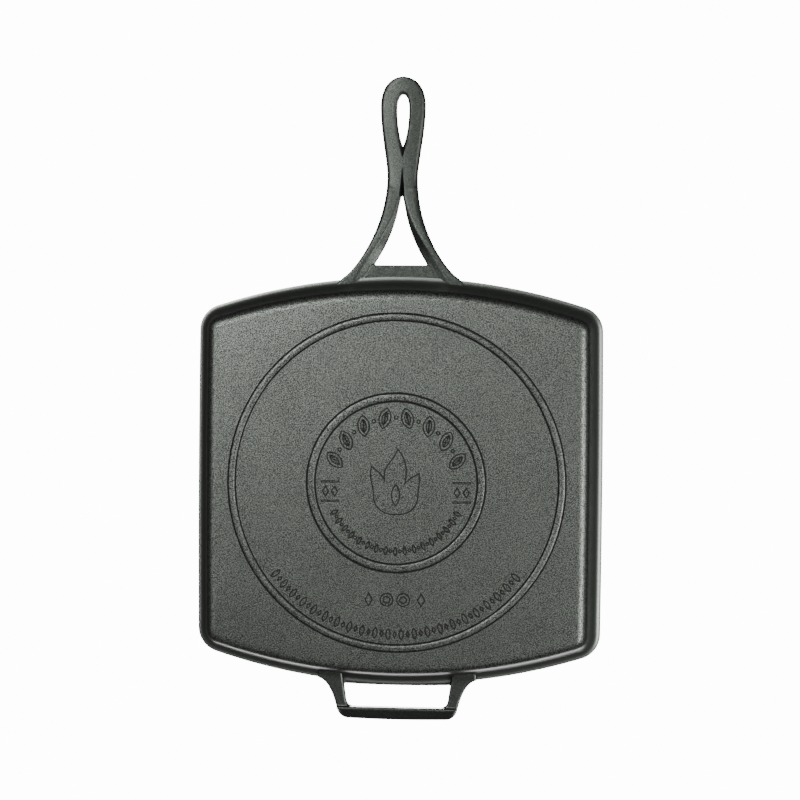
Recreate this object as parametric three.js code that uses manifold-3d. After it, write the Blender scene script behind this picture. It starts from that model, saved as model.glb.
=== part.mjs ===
// A cast iron skillet: a shallow pan, nearly square, with a forked long handle and a helper handle.
// Millimetres, +Z up. It stands on its heat ring at Z = 0 and the long handle points along +Y.
// The real skillet is one iron casting. Each mesh is a named section of it, sectionGap from the next.

import * as THREE from 'three';
import { ParametricGeometry } from 'three/addons/geometries/ParametricGeometry.js';
import { mergeVertices } from 'three/addons/utils/BufferGeometryUtils.js';
import Module from 'manifold-3d';

const wasm = await Module();
wasm.setup();

// ---------------------------------------------------------------- driving dimensions

const sectionGap = 0.3;

// Pan, in plan, at the widest line of the rim
const rimWidth = 305;
const rimLength = 306;
const endArcRadius = 450;
const sideArcRadius = 11000;
const rimCornerRadius = 19.5;
const leastCornerRadius = 1.2;

// Pan, in section
const panDepth = 28;
const floorThickness = 3.6;
const wallThickness = 3.3;
const wallSpread = 17.5;
const baseEdgeRadius = 8;
const steepestWallAngle = 75;
const lipAngle = 25;
const lipDrop = 3;
const lipRound = 1.2;
const wallEase = 7;
const lipEase = 6;
const wallShare = 0.8;

// Heat ring and the groove round the medallion, both on the underside
const ringOuterRadius = 125.4;
const ringWidth = 4.6;
const ringFlatWidth = 2.2;
const ringHeight = 1.2;
const medallionGrooveRadius = 63;
const medallionGrooveWidth = 5;
const medallionGrooveDepth = 0.8;

// Long handle. Lengths are measured out from the middle of the rim's end, and drops down from the rim's top
const handleLength = 151;
const handleThickness = 10;
const handleEdgeRound = 2.4;
const handleFootThickness = 4.4;
const handleFootLength = 45;
const handleRise = 11.7;
const handleRiseLength = 95;
const footHalfWidth = 43;
const footSlope = 1;
const waistHalfWidth = 11.55;
const waistLength = 75.5;
const forkLength = 63.5;
const forkGapHalfWidth = 20;
const neckOverlap = 1.5;
const rootWebLength = 9;
const rootWebThickness = 3.4;
const rootWebDrop = 0.5;
const rootWebRound = 0.8;
const strutChamferWide = 8;
const strutChamferNarrow = 1.6;
const strutChamferLength = 62;
const strutChamferSlope = 0.35;
const neckGrooveDepth = 3;

// The loop at the handle's end and its hanging hole. Backs are measured in from the tip
const loopHalfWidth = 17.1;
const loopWidestBack = 22.5;
const holeHalfWidth = 4.55;
const holeWidestBack = 24;
const holeTopBack = 13.5;
const holeLength = 39.2;
const holeEdgeRound = 2;
const crotchLength = 8.3;

// Helper handle, measured out from the middle of the rim's other end
const helperReach = 27.2;
const helperHalfWidth = 45.6;
const helperFootHalfWidth = 60;
const helperOpeningHalfWidth = 40.2;
const helperOpeningTaper = 2.6;
const helperOpeningCorner = 4.5;
const helperDrop = 1.2;
const helperLegThickness = 6;
const helperLegRound = 1.6;
const helperGripThickness = 9.5;
const helperGripOuterThickness = 4.5;
const helperGripWidth = 9.9;
const helperGripCorner = 8.5;
const helperGripCrown = 1;
const helperGripRound = 1.6;
const helperLedgeReach = 1.5;
const helperLedgeCrown = 1;
const helperLedgeThickness = 2.8;
const helperLedgeRound = 0.8;

// Free curves. A pull is where a control point stands, as a share of the way along its span.
// A width is how far out it stands, as a share of the half width there
const footPull = 3;
const waistPull = 0.4;
const palmLowPull = 0.2;
const palmHighPull = 0.65;
const nosePull = 0.62;
const noseWidth = 0.61;
const forkLowPull = 0.55;
const forkLowWidth = 0.18;
const forkHighPull = 0.76;
const forkHighWidth = 0.2;
const riseLift = 0.07;
const riseStartPull = 0.42;
const riseEndPull = 0.58;
const holeTopPull = 0.57;
const holeTopWidth = 0.6;
const holeLowPull = 0.24;
const holeLowWidth = 0.66;
const holeSidePull = 0.62;
const legStartPull = 0.5;
const legStartWidth = 0.41;
const legEndPull = 0.36;
const legEndWidth = 0.16;

// The loop's nose thins towards the tip, and its rings stop short of the tip itself
const noseEnd = 0.9;
const noseThinning = 0.7;
const nosePower = 6;

// Rounding and cutting
const fullestRound = 0.49;
const thinEdgeShare = 1 / 3;
const neckGrooveShare = 0.4;
const gripNoseAngle = 300;
const gripEndSpare = 0.02;
const cutterSpare = 1;
const clearOverhead = 3;
const mergeDistance = 1e-4;
const halvings = 40;

// Mesh fineness
const endSegments = 16;
const sideSegments = 4;
const cornerSegments = 7;
const ringSegments = 80;
const edgeSteps = 2;
const wallSteps = 9;
const rimSteps = 3;
const panSpaceSteps = 24;
const strutSteps = 18;
const neckSteps = 8;
const loopSteps = 12;
const noseSteps = 9;
const holeLowSteps = 10;
const holeHighSteps = 7;
const webSteps = 5;
const legSteps = 10;
const gripSteps = 8;
const gripCornerSteps = 6;
const ledgeSteps = 8;

const colours = { iron: 0x3a3c3a, worn: 0x474947 };
const ironRoughness = 0.55;
const ironMetalness = 0.6;

// ---------------------------------------------------------------- sizes that follow from them

const degrees = THREE.MathUtils.degToRad;
const underside = ringHeight;
const rimTop = underside + panDepth;
const cookingFace = underside + floorThickness;
const rimEnd = rimLength / 2;
const handleTip = rimEnd + handleLength;
const helperTip = rimEnd + helperReach;
const originShift = (handleTip - helperTip) / 2;
const rootWebEnd = rimEnd + rootWebLength;
const forkEnd = rimEnd + forkLength;
const neckStart = forkEnd - neckOverlap;
const waist = rimEnd + waistLength;
const loopWidest = handleTip - loopWidestBack;
const holeTop = handleTip - holeTopBack;
const holeWidest = handleTip - holeWidestBack;
const holeBottom = holeTop - holeLength;
const crotch = holeBottom - crotchLength;
const handleFootHeight = rimTop - handleFootThickness / 2;
const handleTopHeight = handleFootHeight + handleRise;
const helperTop = rimTop - helperDrop;
const gripInner = helperTip - helperGripWidth;

/** How far the rim's bowed end has fallen back at a given X from the pan's middle line. */
const endBow = (x) => endArcRadius - Math.sqrt(endArcRadius ** 2 - x ** 2);

// ---------------------------------------------------------------- solids from rings of points

/** One closed body from a geometry: vertices merged, flat slivers dropped and the faces turned outwards. */
function closedBody(geometry) {
  const bare = new THREE.BufferGeometry();
  bare.setAttribute('position', geometry.getAttribute('position').clone());
  bare.setIndex(geometry.getIndex());
  const merged = mergeVertices(bare, mergeDistance);
  const index = merged.getIndex().array;
  const kept = [];
  for (let i = 0; i < index.length; i += 3) {
    const [a, b, c] = [index[i], index[i + 1], index[i + 2]];
    if (a !== b && b !== c && c !== a) kept.push(a, b, c);
  }
  merged.setIndex(kept);
  if (signedVolume(merged) < 0) merged.setIndex(kept.reverse());
  return merged;
}

/** Volume inside a closed geometry, negative where its faces point inwards. */
function signedVolume(geometry) {
  const position = geometry.getAttribute('position');
  const index = geometry.getIndex().array;
  const corner = (k) => new THREE.Vector3().fromBufferAttribute(position, index[k]);
  let volume = 0;
  for (let i = 0; i < index.length; i += 3) {
    volume += corner(i).dot(corner(i + 1).cross(corner(i + 2))) / 6;
  }
  return volume;
}

/** The surface through a list of rings, each a closed list of the same number of points. */
function surfaceThrough(rings) {
  const around = rings[0].length;
  const along = rings.length - 1;
  const place = (u, v, target) => {
    const ring = rings[Math.round(v * along)];
    target.copy(ring[Math.round(u * around) % around]);
  };
  return closedBody(new ParametricGeometry(place, around, along));
}

/** A solid lofted through rings, closed at each end by a fan to a point, by default the ring's middle. */
function loft(rings, startPoint = middleOf(rings[0]), endPoint = middleOf(rings.at(-1))) {
  const start = rings[0].map(() => startPoint);
  const end = rings[0].map(() => endPoint);
  return surfaceThrough([start, ...rings, end]);
}

/** A solid that goes all the way round and meets itself. */
function loopLoft(rings) {
  return surfaceThrough([...rings, rings[0]]);
}

function middleOf(points) {
  const middle = new THREE.Vector3();
  points.forEach((point) => middle.add(point));
  return middle.divideScalar(points.length);
}

function toManifold(geometry) {
  const vertProperties = new Float32Array(geometry.getAttribute('position').array);
  const triVerts = new Uint32Array(geometry.getIndex().array);
  return new wasm.Manifold(new wasm.Mesh({ numProp: 3, vertProperties, triVerts }));
}

function toGeometry(manifold) {
  const mesh = manifold.getMesh();
  const geometry = new THREE.BufferGeometry();
  geometry.setAttribute('position', new THREE.BufferAttribute(mesh.vertProperties, mesh.numProp));
  geometry.setIndex(new THREE.BufferAttribute(mesh.triVerts, 1));
  return geometry;
}

/** A geometry with each of the tools cut away from it. */
function cut(geometry, ...tools) {
  return toGeometry(tools.reduce((body, tool) => body.subtract(toManifold(tool)), toManifold(geometry)));
}

/** Evenly spaced numbers from one to another, both included. */
function spaced(from, to, steps) {
  return Array.from({ length: steps + 1 }, (_, i) => from + ((to - from) * i) / steps);
}

/** Points on a quarter-round corner, from one angle to another in degrees. */
function cornerPoints(x, z, radius, fromAngle, toAngle, steps = edgeSteps) {
  return spaced(degrees(fromAngle), degrees(toAngle), steps)
    .map((angle) => new THREE.Vector2(x + radius * Math.cos(angle), z + radius * Math.sin(angle)));
}

/** A rounded rectangle, anticlockwise from its low left corner. */
function roundedBar(left, right, low, high, edge) {
  const round = Math.min(edge, fullestRound * (right - left), fullestRound * (high - low));
  return [
    ...cornerPoints(left + round, low + round, round, 180, 270),
    ...cornerPoints(right - round, low + round, round, 270, 360),
    ...cornerPoints(right - round, high - round, round, 0, 90),
    ...cornerPoints(left + round, high - round, round, 90, 180),
  ];
}

/** Where a plan curve, which always climbs in Y, crosses a given Y: its X there. */
function halfWidthAt(curve, y) {
  let [low, high] = [0, 1];
  for (let i = 0; i < halvings; i += 1) {
    const middle = (low + high) / 2;
    if (curve.getPoint(middle).y < y) low = middle;
    else high = middle;
  }
  return curve.getPoint((low + high) / 2).x;
}

function bezier(...points) {
  return new THREE.CubicBezierCurve(...points.map(([x, y]) => new THREE.Vector2(x, y)));
}

// ---------------------------------------------------------------- the pan's plan and section

/** The circle that touches the end arc and the side arc from inside, at a given inset from the rim. */
function cornerFillet(inset) {
  const radius = Math.max(rimCornerRadius - inset, leastCornerRadius);
  const endCentre = new THREE.Vector2(0, rimEnd - endArcRadius);
  const sideCentre = new THREE.Vector2(rimWidth / 2 - sideArcRadius, 0);
  const fromEnd = endArcRadius - inset - radius;
  const fromSide = sideArcRadius - inset - radius;
  const apart = endCentre.distanceTo(sideCentre);
  const along = (fromEnd ** 2 - fromSide ** 2 + apart ** 2) / (2 * apart);
  const across = Math.sqrt(fromEnd ** 2 - along ** 2);
  const towards = sideCentre.clone().sub(endCentre).divideScalar(apart);
  const outward = new THREE.Vector2(towards.y, -towards.x);
  const centre = endCentre.clone().addScaledVector(towards, along).addScaledVector(outward, across);
  return { centre, radius, endCentre, sideCentre };
}

/** The pan's outline at an inset from the rim, anticlockwise: four bowed sides and four round corners. */
function panOutline(inset) {
  const { centre, radius, endCentre, sideCentre } = cornerFillet(inset);
  const sideTurn = centre.clone().sub(sideCentre).angle();
  const endTurn = centre.clone().sub(endCentre).angle();
  const mirrored = new THREE.Vector2(-centre.x, centre.y);
  const arc = (middle, size, from, to, steps) => spaced(from, to, steps).slice(0, -1)
    .map((angle) => new THREE.Vector2(middle.x + size * Math.cos(angle), middle.y + size * Math.sin(angle)));
  const half = [
    ...arc(sideCentre, sideArcRadius - inset, -sideTurn, sideTurn, sideSegments),
    ...arc(centre, radius, sideTurn, endTurn, cornerSegments),
    ...arc(endCentre, endArcRadius - inset, endTurn, Math.PI - endTurn, endSegments),
    ...arc(mirrored, radius, Math.PI - endTurn, Math.PI - sideTurn, cornerSegments),
  ];
  return [...half, ...half.map((point) => point.clone().negate())];
}

/** The outside of the wall as insets and heights: a round base edge, then a wall that flares to the lip. */
function wallCurve() {
  const start = degrees(-90);
  const end = start - degrees(steepestWallAngle);
  const middle = underside + baseEdgeRadius;
  const base = new THREE.EllipseCurve(wallSpread, middle, baseEdgeRadius, baseEdgeRadius, start, end, true);
  const from = base.getPoint(1);
  const lip = new THREE.Vector2(0, rimTop - lipDrop);
  const outAndUp = (angle) => new THREE.Vector2(-Math.cos(degrees(angle)), Math.sin(degrees(angle)));
  const afterFoot = from.clone().addScaledVector(outAndUp(steepestWallAngle), wallEase);
  const beforeLip = lip.clone().addScaledVector(outAndUp(lipAngle), -lipEase);
  const wall = new THREE.CubicBezierCurve(from, afterFoot, beforeLip, lip);
  const path = new THREE.CurvePath();
  path.add(base);
  path.add(wall);
  return path;
}

const outerWall = wallCurve();

/** A point on the wall's outside, at a share of the way to the lip, and the one across the casting. */
function wallPair(share) {
  const outer = outerWall.getPointAt(share);
  const tangent = outerWall.getTangentAt(share);
  const inward = new THREE.Vector2(tangent.y, -tangent.x);
  const thickness = THREE.MathUtils.lerp(floorThickness, wallThickness, share);
  const inner = outer.clone().addScaledVector(inward, thickness);
  inner.y = Math.min(inner.y, rimTop);
  return { outer, inner };
}

/** The rings of a section of wall, from one share of its height to another. */
function wallRings(fromShare, toShare, steps, crest = []) {
  const pairs = spaced(fromShare, toShare, steps).map(wallPair);
  const section = [
    ...pairs.map((pair) => pair.outer),
    ...crest,
    ...pairs.map((pair) => pair.inner).reverse(),
  ];
  return section.map((point) => ringAt(point.x, point.y));
}

function ringAt(inset, height) {
  return panOutline(inset).map((point) => new THREE.Vector3(point.x, point.y, height));
}

/** All the space that the pan and a gap round it take, for trimming what meets the pan from outside. */
function panSpace() {
  const wall = spaced(0, 1, panSpaceSteps).map((share) => {
    const tangent = outerWall.getTangentAt(share);
    const outward = new THREE.Vector2(-tangent.y, tangent.x);
    return outerWall.getPointAt(share).addScaledVector(outward, sectionGap);
  });
  const overhead = clearOverhead * rimTop;
  const beside = [rimTop - lipDrop, overhead].map((height) => new THREE.Vector2(-sectionGap, height));
  const rings = [...wall, ...beside].map((point) => ringAt(point.x, point.y));
  const centre = (height) => new THREE.Vector3(0, 0, height);
  return loft(rings, centre(underside - sectionGap), centre(overhead));
}

// ---------------------------------------------------------------- pan sections

function cookingFloor() {
  const outline = (height) => ringAt(wallSpread + sectionGap, height);
  const centre = (height) => new THREE.Vector3(0, 0, height);
  const plate = loft([outline(underside), outline(cookingFace)], centre(underside), centre(cookingFace));
  const half = medallionGrooveWidth / 2;
  const profile = [
    new THREE.Vector2(medallionGrooveRadius - half, underside - cutterSpare),
    new THREE.Vector2(medallionGrooveRadius + half, underside - cutterSpare),
    new THREE.Vector2(medallionGrooveRadius + half, underside),
    new THREE.Vector2(medallionGrooveRadius, underside + medallionGrooveDepth),
    new THREE.Vector2(medallionGrooveRadius - half, underside),
  ];
  return cut(plate, turned(profile));
}

/** A ring turned about Z from a closed profile of radii and heights. */
function turned(profile) {
  const lathe = new THREE.LatheGeometry([...profile, profile[0]], ringSegments);
  lathe.rotateX(Math.PI / 2);
  return closedBody(lathe);
}

function heatRing() {
  const top = underside - sectionGap;
  const middle = ringOuterRadius - ringWidth / 2;
  const halfFlat = ringFlatWidth / 2;
  return turned([
    new THREE.Vector2(ringOuterRadius - ringWidth, top),
    new THREE.Vector2(middle - halfFlat, 0),
    new THREE.Vector2(middle + halfFlat, 0),
    new THREE.Vector2(ringOuterRadius, top),
  ]);
}

function sideWall() {
  const gapShare = sectionGap / outerWall.getLength();
  return loopLoft(wallRings(0, wallShare - gapShare, wallSteps));
}

function rim() {
  const crest = cornerPoints(lipRound, rimTop - lipRound, lipRound, 180, 90);
  return loopLoft(wallRings(wallShare, 1, rimSteps, crest));
}

// ---------------------------------------------------------------- long handle sections

const handleOuterLow = bezier(
  [footHalfWidth, rimEnd],
  [footHalfWidth - footPull, rimEnd],
  [waistHalfWidth, rimEnd + waistLength * waistPull],
  [waistHalfWidth, waist],
);
const handleOuterHigh = bezier(
  [waistHalfWidth, waist],
  [waistHalfWidth, THREE.MathUtils.lerp(waist, loopWidest, palmLowPull)],
  [loopHalfWidth, THREE.MathUtils.lerp(waist, loopWidest, palmHighPull)],
  [loopHalfWidth, loopWidest],
);
const handleNose = bezier(
  [loopHalfWidth, loopWidest],
  [loopHalfWidth, THREE.MathUtils.lerp(loopWidest, handleTip, nosePull)],
  [loopHalfWidth * noseWidth, handleTip],
  [0, handleTip],
);
const forkEdge = bezier(
  [forkGapHalfWidth, rootWebEnd],
  [forkGapHalfWidth * forkLowWidth, rimEnd + forkLength * forkLowPull],
  [forkGapHalfWidth * forkHighWidth, rimEnd + forkLength * forkHighPull],
  [0, forkEnd],
);
const handleRiseCurve = bezier(
  [handleFootHeight, rimEnd],
  [handleFootHeight + handleRise * riseLift, rimEnd + handleRiseLength * riseStartPull],
  [handleTopHeight, rimEnd + handleRiseLength * riseEndPull],
  [handleTopHeight, rimEnd + handleRiseLength],
);

/** Half the handle's width at a given Y. Inside the rim's end its sides run straight on. */
function handleHalfWidth(y) {
  if (y < rimEnd) return footHalfWidth + footSlope * (rimEnd - y);
  return y < waist ? halfWidthAt(handleOuterLow, y) : halfWidthAt(handleOuterHigh, y);
}

/** Half the gap between the struts at a given Y. Beside the root web it runs on at its last slope. */
function forkHalfWidth(y) {
  const tangent = forkEdge.getTangent(0);
  if (y < rootWebEnd) return forkGapHalfWidth + ((y - rootWebEnd) * tangent.x) / tangent.y;
  return halfWidthAt(forkEdge, y);
}

/** Height of the handle's middle at a given Y: it rises in a long S and then runs level to its tip. */
function handleHeight(y) {
  if (y <= rimEnd) return handleFootHeight;
  return y < rimEnd + handleRiseLength ? halfWidthAt(handleRiseCurve, y) : handleTopHeight;
}

/** Thickness of the handle at a given Y: thin where it leaves the rim, full further out. */
function handleDepth(y) {
  const share = THREE.MathUtils.smoothstep(y, rimEnd, rimEnd + handleFootLength);
  return THREE.MathUtils.lerp(handleFootThickness, handleThickness, share);
}

/** Width of the chamfer along a strut's inner edge at a given Y: it narrows away from the pan. */
function strutChamfer(y) {
  const share = THREE.MathUtils.smoothstep(y, rootWebEnd, rimEnd + strutChamferLength);
  return THREE.MathUtils.lerp(strutChamferWide, strutChamferNarrow, share);
}

function standing(section, y) {
  return section.map((point) => new THREE.Vector3(point.x, y, point.y));
}

/** One strut of the fork, its inner edge chamfered underneath. side is 1 for the one on +X, -1 for -X. */
function strut(side) {
  const start = rimEnd - wallSpread;
  const end = neckStart - sectionGap;
  const rings = spaced(start, end, strutSteps).map((y) => {
    const inner = Math.max(forkHalfWidth(y), sectionGap / 2);
    const outer = handleHalfWidth(y);
    const middle = handleHeight(y);
    const [low, high] = [middle - handleDepth(y) / 2, middle + handleDepth(y) / 2];
    const round = Math.min(handleEdgeRound, handleDepth(y) * thinEdgeShare);
    const chamfer = strutChamfer(y);
    const section = [
      new THREE.Vector2(inner, low + chamfer * strutChamferSlope),
      new THREE.Vector2(inner + chamfer, low),
      ...cornerPoints(outer - round, low + round, round, 270, 360),
      ...cornerPoints(outer - round, high - round, round, 0, 90),
      new THREE.Vector2(inner, high),
    ];
    section.forEach((point) => point.setX(side * point.x));
    return standing(section, y);
  });
  return cut(loft(rings), panSpace());
}

function handleNeck() {
  const rings = spaced(neckStart, crotch - sectionGap, neckSteps).map((y) => {
    const half = handleHalfWidth(y);
    const middle = handleHeight(y);
    const [low, high] = [middle - handleThickness / 2, middle + handleThickness / 2];
    const round = handleEdgeRound;
    const fade = 1 - THREE.MathUtils.smoothstep(y, neckStart, crotch);
    const grooveHalf = strutChamferNarrow * (neckGrooveShare + fade);
    const section = [
      new THREE.Vector2(-grooveHalf, low),
      new THREE.Vector2(0, low + neckGrooveDepth * fade),
      new THREE.Vector2(grooveHalf, low),
      ...cornerPoints(half - round, low + round, round, 270, 360),
      ...cornerPoints(half - round, high - round, round, 0, 90),
      ...cornerPoints(round - half, high - round, round, 90, 180),
      ...cornerPoints(round - half, low + round, round, 180, 270),
    ];
    return standing(section, y);
  });
  return loft(rings);
}

/** The teardrop hanging hole as a solid that flares at both faces of the handle. */
function hangingHole() {
  const high = bezier(
    [holeHalfWidth, holeWidest],
    [holeHalfWidth, THREE.MathUtils.lerp(holeWidest, holeTop, holeTopPull)],
    [holeHalfWidth * holeTopWidth, holeTop],
    [0, holeTop],
  );
  const low = bezier(
    [0, holeBottom],
    [holeHalfWidth * holeLowWidth, THREE.MathUtils.lerp(holeBottom, holeWidest, holeLowPull)],
    [holeHalfWidth, THREE.MathUtils.lerp(holeBottom, holeWidest, holeSidePull)],
    [holeHalfWidth, holeWidest],
  );
  const right = [...low.getPoints(holeLowSteps).slice(0, -1), ...high.getPoints(holeHighSteps)];
  const left = right.slice(1, -1).reverse().map((point) => new THREE.Vector2(-point.x, point.y));
  const outline = [...right, ...left];
  const centre = new THREE.Vector2(0, holeWidest);
  const flared = (height, flare) => outline.map((point) => {
    const away = point.clone().sub(centre).normalize().multiplyScalar(flare);
    return new THREE.Vector3(point.x + away.x, point.y + away.y, handleTopHeight + height);
  });
  const half = handleThickness / 2;
  return loft([
    flared(-half - holeEdgeRound, 2 * holeEdgeRound),
    flared(holeEdgeRound - half, 0),
    flared(half - holeEdgeRound, 0),
    flared(half + holeEdgeRound, 2 * holeEdgeRound),
  ]);
}

function handleLoop() {
  const ringOf = (half, y, thickness) => {
    const low = handleHeight(y) - thickness / 2;
    return standing(roundedBar(-half, half, low, low + thickness, handleEdgeRound), y);
  };
  const body = spaced(crotch, loopWidest, loopSteps)
    .map((y) => ringOf(handleHalfWidth(y), y, handleThickness));
  const nose = spaced(0, noseEnd, noseSteps).slice(1).map((share) => {
    const point = handleNose.getPoint(share);
    const thickness = handleThickness * Math.sqrt(1 - noseThinning * share ** nosePower);
    return ringOf(point.x, point.y, thickness);
  });
  const tip = new THREE.Vector3(0, handleTip, handleHeight(handleTip));
  return cut(loft([...body, ...nose], undefined, tip), hangingHole());
}

/** The flat web that joins the struts' feet along the rim. */
function rootWeb() {
  const top = rimTop - rootWebDrop;
  const rings = spaced(rimEnd - wallSpread, rootWebEnd, webSteps).map((y) => {
    const half = forkHalfWidth(y) - sectionGap;
    return standing(roundedBar(-half, half, top - rootWebThickness, top, rootWebRound), y);
  });
  return cut(loft(rings), panSpace());
}

// ---------------------------------------------------------------- helper handle sections

const helperFootStart = rimEnd - endBow(helperFootHalfWidth);
const legFlare = (share) => THREE.MathUtils.lerp(helperHalfWidth, helperFootHalfWidth, share);
const helperOuter = bezier(
  [helperFootHalfWidth, helperFootStart],
  [legFlare(legStartWidth), THREE.MathUtils.lerp(helperFootStart, rimEnd, legStartPull)],
  [legFlare(legEndWidth), rimEnd + helperReach * legEndPull],
  [helperHalfWidth, helperTip - helperGripCorner],
);

/** Half the helper's opening at a distance out from the pan's middle. Its corners at the grip are round. */
function openingHalfWidth(out) {
  const share = (out - rimEnd) / (gripInner - rimEnd);
  const intoCorner = Math.max(out - (gripInner - helperOpeningCorner), 0);
  const corner = helperOpeningCorner - Math.sqrt(helperOpeningCorner ** 2 - intoCorner ** 2);
  return helperOpeningHalfWidth - helperOpeningTaper * share - corner;
}

/** One leg of the helper handle. side is 1 for the leg on +X, -1 for the other. */
function helperLeg(side) {
  const low = helperTop - helperLegThickness;
  const cornerStart = gripInner - helperOpeningCorner;
  const places = [
    ...spaced(rimEnd - wallSpread, cornerStart, legSteps).slice(0, -1),
    ...spaced(cornerStart, gripInner - sectionGap, gripCornerSteps),
  ];
  const rings = places.map((out) => {
    const outer = out < helperFootStart ? helperFootHalfWidth : halfWidthAt(helperOuter, out);
    const section = roundedBar(openingHalfWidth(out), outer, low, helperTop, helperLegRound);
    section.forEach((point) => point.setX(side * point.x));
    return standing(section, -out);
  });
  return cut(loft(rings), panSpace());
}

/** The grip's outer edge in plan at a given X: slightly crowned, with rounded corners. */
function gripOuterLine(x) {
  const crown = helperGripCrown * (x / helperHalfWidth) ** 2;
  const corner = Math.max(Math.abs(x) - (helperHalfWidth - helperGripCorner), 0);
  return helperTip - crown - (helperGripCorner - Math.sqrt(helperGripCorner ** 2 - corner ** 2));
}

/** The grip bar across the legs' ends. */
function helperGrip() {
  const low = helperTop - helperGripThickness;
  const cornerStart = helperHalfWidth - helperGripCorner;
  const fullEnd = helperHalfWidth - helperGripCorner * gripEndSpare;
  const places = [
    ...spaced(-fullEnd, -cornerStart, gripCornerSteps),
    ...spaced(-cornerStart, cornerStart, gripSteps).slice(1, -1),
    ...spaced(cornerStart, fullEnd, gripCornerSteps),
  ];
  const rings = places.map((x) => {
    const outer = gripOuterLine(x);
    const round = helperGripRound;
    const nose = helperTop - helperGripOuterThickness + round;
    const section = [
      ...cornerPoints(gripInner + round, low + round, round, 180, 270),
      ...cornerPoints(outer - round, nose, round, gripNoseAngle, 360),
      ...cornerPoints(outer - round, helperTop - round, round, 0, 90),
      ...cornerPoints(gripInner + round, helperTop - round, round, 90, 180),
    ];
    return section.map((point) => new THREE.Vector3(x, -point.x, point.y));
  });
  return loft(rings);
}

/** The ledge under the rim that closes the helper's opening on the pan's side. */
function helperLedge() {
  const half = openingHalfWidth(rimEnd + helperLedgeReach) - sectionGap;
  const low = helperTop - helperLedgeThickness;
  const rings = spaced(-half, half, ledgeSteps).map((x) => {
    const outer = rimEnd + helperLedgeReach - helperLedgeCrown * (x / half) ** 2;
    const section = roundedBar(rimEnd - wallSpread, outer, low, helperTop, helperLedgeRound);
    return section.map((point) => new THREE.Vector3(x, -point.x, point.y));
  });
  return cut(loft(rings), panSpace());
}

// ---------------------------------------------------------------- assembly

const skillet = new THREE.Group();
skillet.position.y = -originShift;

function addSection(name, geometry, color = colours.iron) {
  const finish = { color, roughness: ironRoughness, metalness: ironMetalness };
  const mesh = new THREE.Mesh(geometry, new THREE.MeshStandardMaterial(finish));
  mesh.name = name;
  skillet.add(mesh);
}

addSection('cooking_floor', cookingFloor());
addSection('heat_ring', heatRing(), colours.worn);
addSection('side_wall', sideWall());
addSection('rim', rim(), colours.worn);
addSection('handle_root_web', rootWeb());
addSection('handle_left_strut', strut(1));
addSection('handle_right_strut', strut(-1));
addSection('handle_neck', handleNeck());
addSection('handle_loop', handleLoop());
addSection('helper_ledge', helperLedge());
addSection('helper_left_leg', helperLeg(1));
addSection('helper_right_leg', helperLeg(-1));
addSection('helper_grip', helperGrip(), colours.worn);

export default skillet;
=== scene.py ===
"""A seasoned cast iron skillet: a shallow bow-ended pan, a forked long handle and a helper handle.

The real skillet is one sand casting. It is modelled here as a pan and two handles that run into each other
without a seam, with low relief on the underside. Lengths are in metres. Every mesh is drawn with the middle
of the pan at X = 0, Y = 0 and is then moved to the place that the frame gives.
"""

import logging
import math
from collections.abc import Callable, Iterable
from dataclasses import dataclass, field
from enum import Enum

import bmesh
import bpy
from mathutils import Euler, Matrix, Vector


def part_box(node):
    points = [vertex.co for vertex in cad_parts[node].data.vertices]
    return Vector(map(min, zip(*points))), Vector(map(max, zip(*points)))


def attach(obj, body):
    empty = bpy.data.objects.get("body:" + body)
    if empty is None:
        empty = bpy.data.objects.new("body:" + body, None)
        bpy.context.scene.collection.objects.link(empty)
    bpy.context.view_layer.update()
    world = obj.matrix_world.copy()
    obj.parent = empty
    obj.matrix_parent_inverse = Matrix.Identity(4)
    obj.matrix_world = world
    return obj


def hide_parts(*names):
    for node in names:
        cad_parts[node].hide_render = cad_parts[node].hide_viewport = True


log = logging.getLogger("skillet")

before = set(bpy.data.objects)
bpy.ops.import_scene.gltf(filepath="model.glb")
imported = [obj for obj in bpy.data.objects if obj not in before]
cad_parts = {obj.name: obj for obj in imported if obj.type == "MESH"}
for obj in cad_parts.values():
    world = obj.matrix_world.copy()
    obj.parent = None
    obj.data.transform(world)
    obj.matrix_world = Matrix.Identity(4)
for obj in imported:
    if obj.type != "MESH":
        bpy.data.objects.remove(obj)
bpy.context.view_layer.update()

MM = 0.001
BODY = "root"
UP = Vector((0, 0, 1))
MERGE = 0.01 * MM
FINE_MERGE = 0.005 * MM
AXIS_MERGE = 0.001 * MM
CURVE_HALVINGS = 30
SMOOTHING = 0.5
SMOOTH_PASSES = 3
Section = list[Vector]
Profile = list[tuple[float, float]]


class Slot(Enum):
    """The record's material slots."""

    SAND_CAST = "sand_cast_iron"
    SMOOTH = "smooth_iron"


# ---------------------------------------------------------------- the modelling bench


def pick(*pieces: bpy.types.Object) -> None:
    """Selects only these objects and makes the first one active.

    Args:
        pieces: The objects to select.
    """
    bpy.ops.object.select_all(action="DESELECT")
    for piece in pieces:
        piece.select_set(True)
    bpy.context.view_layer.objects.active = pieces[0]


def new_piece(name: str, points: Iterable[Vector], face: bool = False) -> bpy.types.Object:
    """Adds an object made of loose points, or of one face through them.

    Args:
        name: The object's name.
        points: The places of its vertices.
        face: True to span the points with one face.

    Returns:
        The new object, picked.
    """
    places = list(points)
    mesh = bpy.data.meshes.new(name)
    mesh.from_pydata(places, [], [list(range(len(places)))] if face else [])
    piece = bpy.data.objects.new(name, mesh)
    bpy.context.scene.collection.objects.link(piece)
    pick(piece)
    return piece


def start_editing() -> None:
    """Opens the picked object in edit mode with all of it selected."""
    bpy.ops.object.mode_set(mode="EDIT")
    bpy.ops.mesh.select_all(action="SELECT")


def stop_editing() -> None:
    """Leaves edit mode."""
    bpy.ops.object.mode_set(mode="OBJECT")


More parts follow.
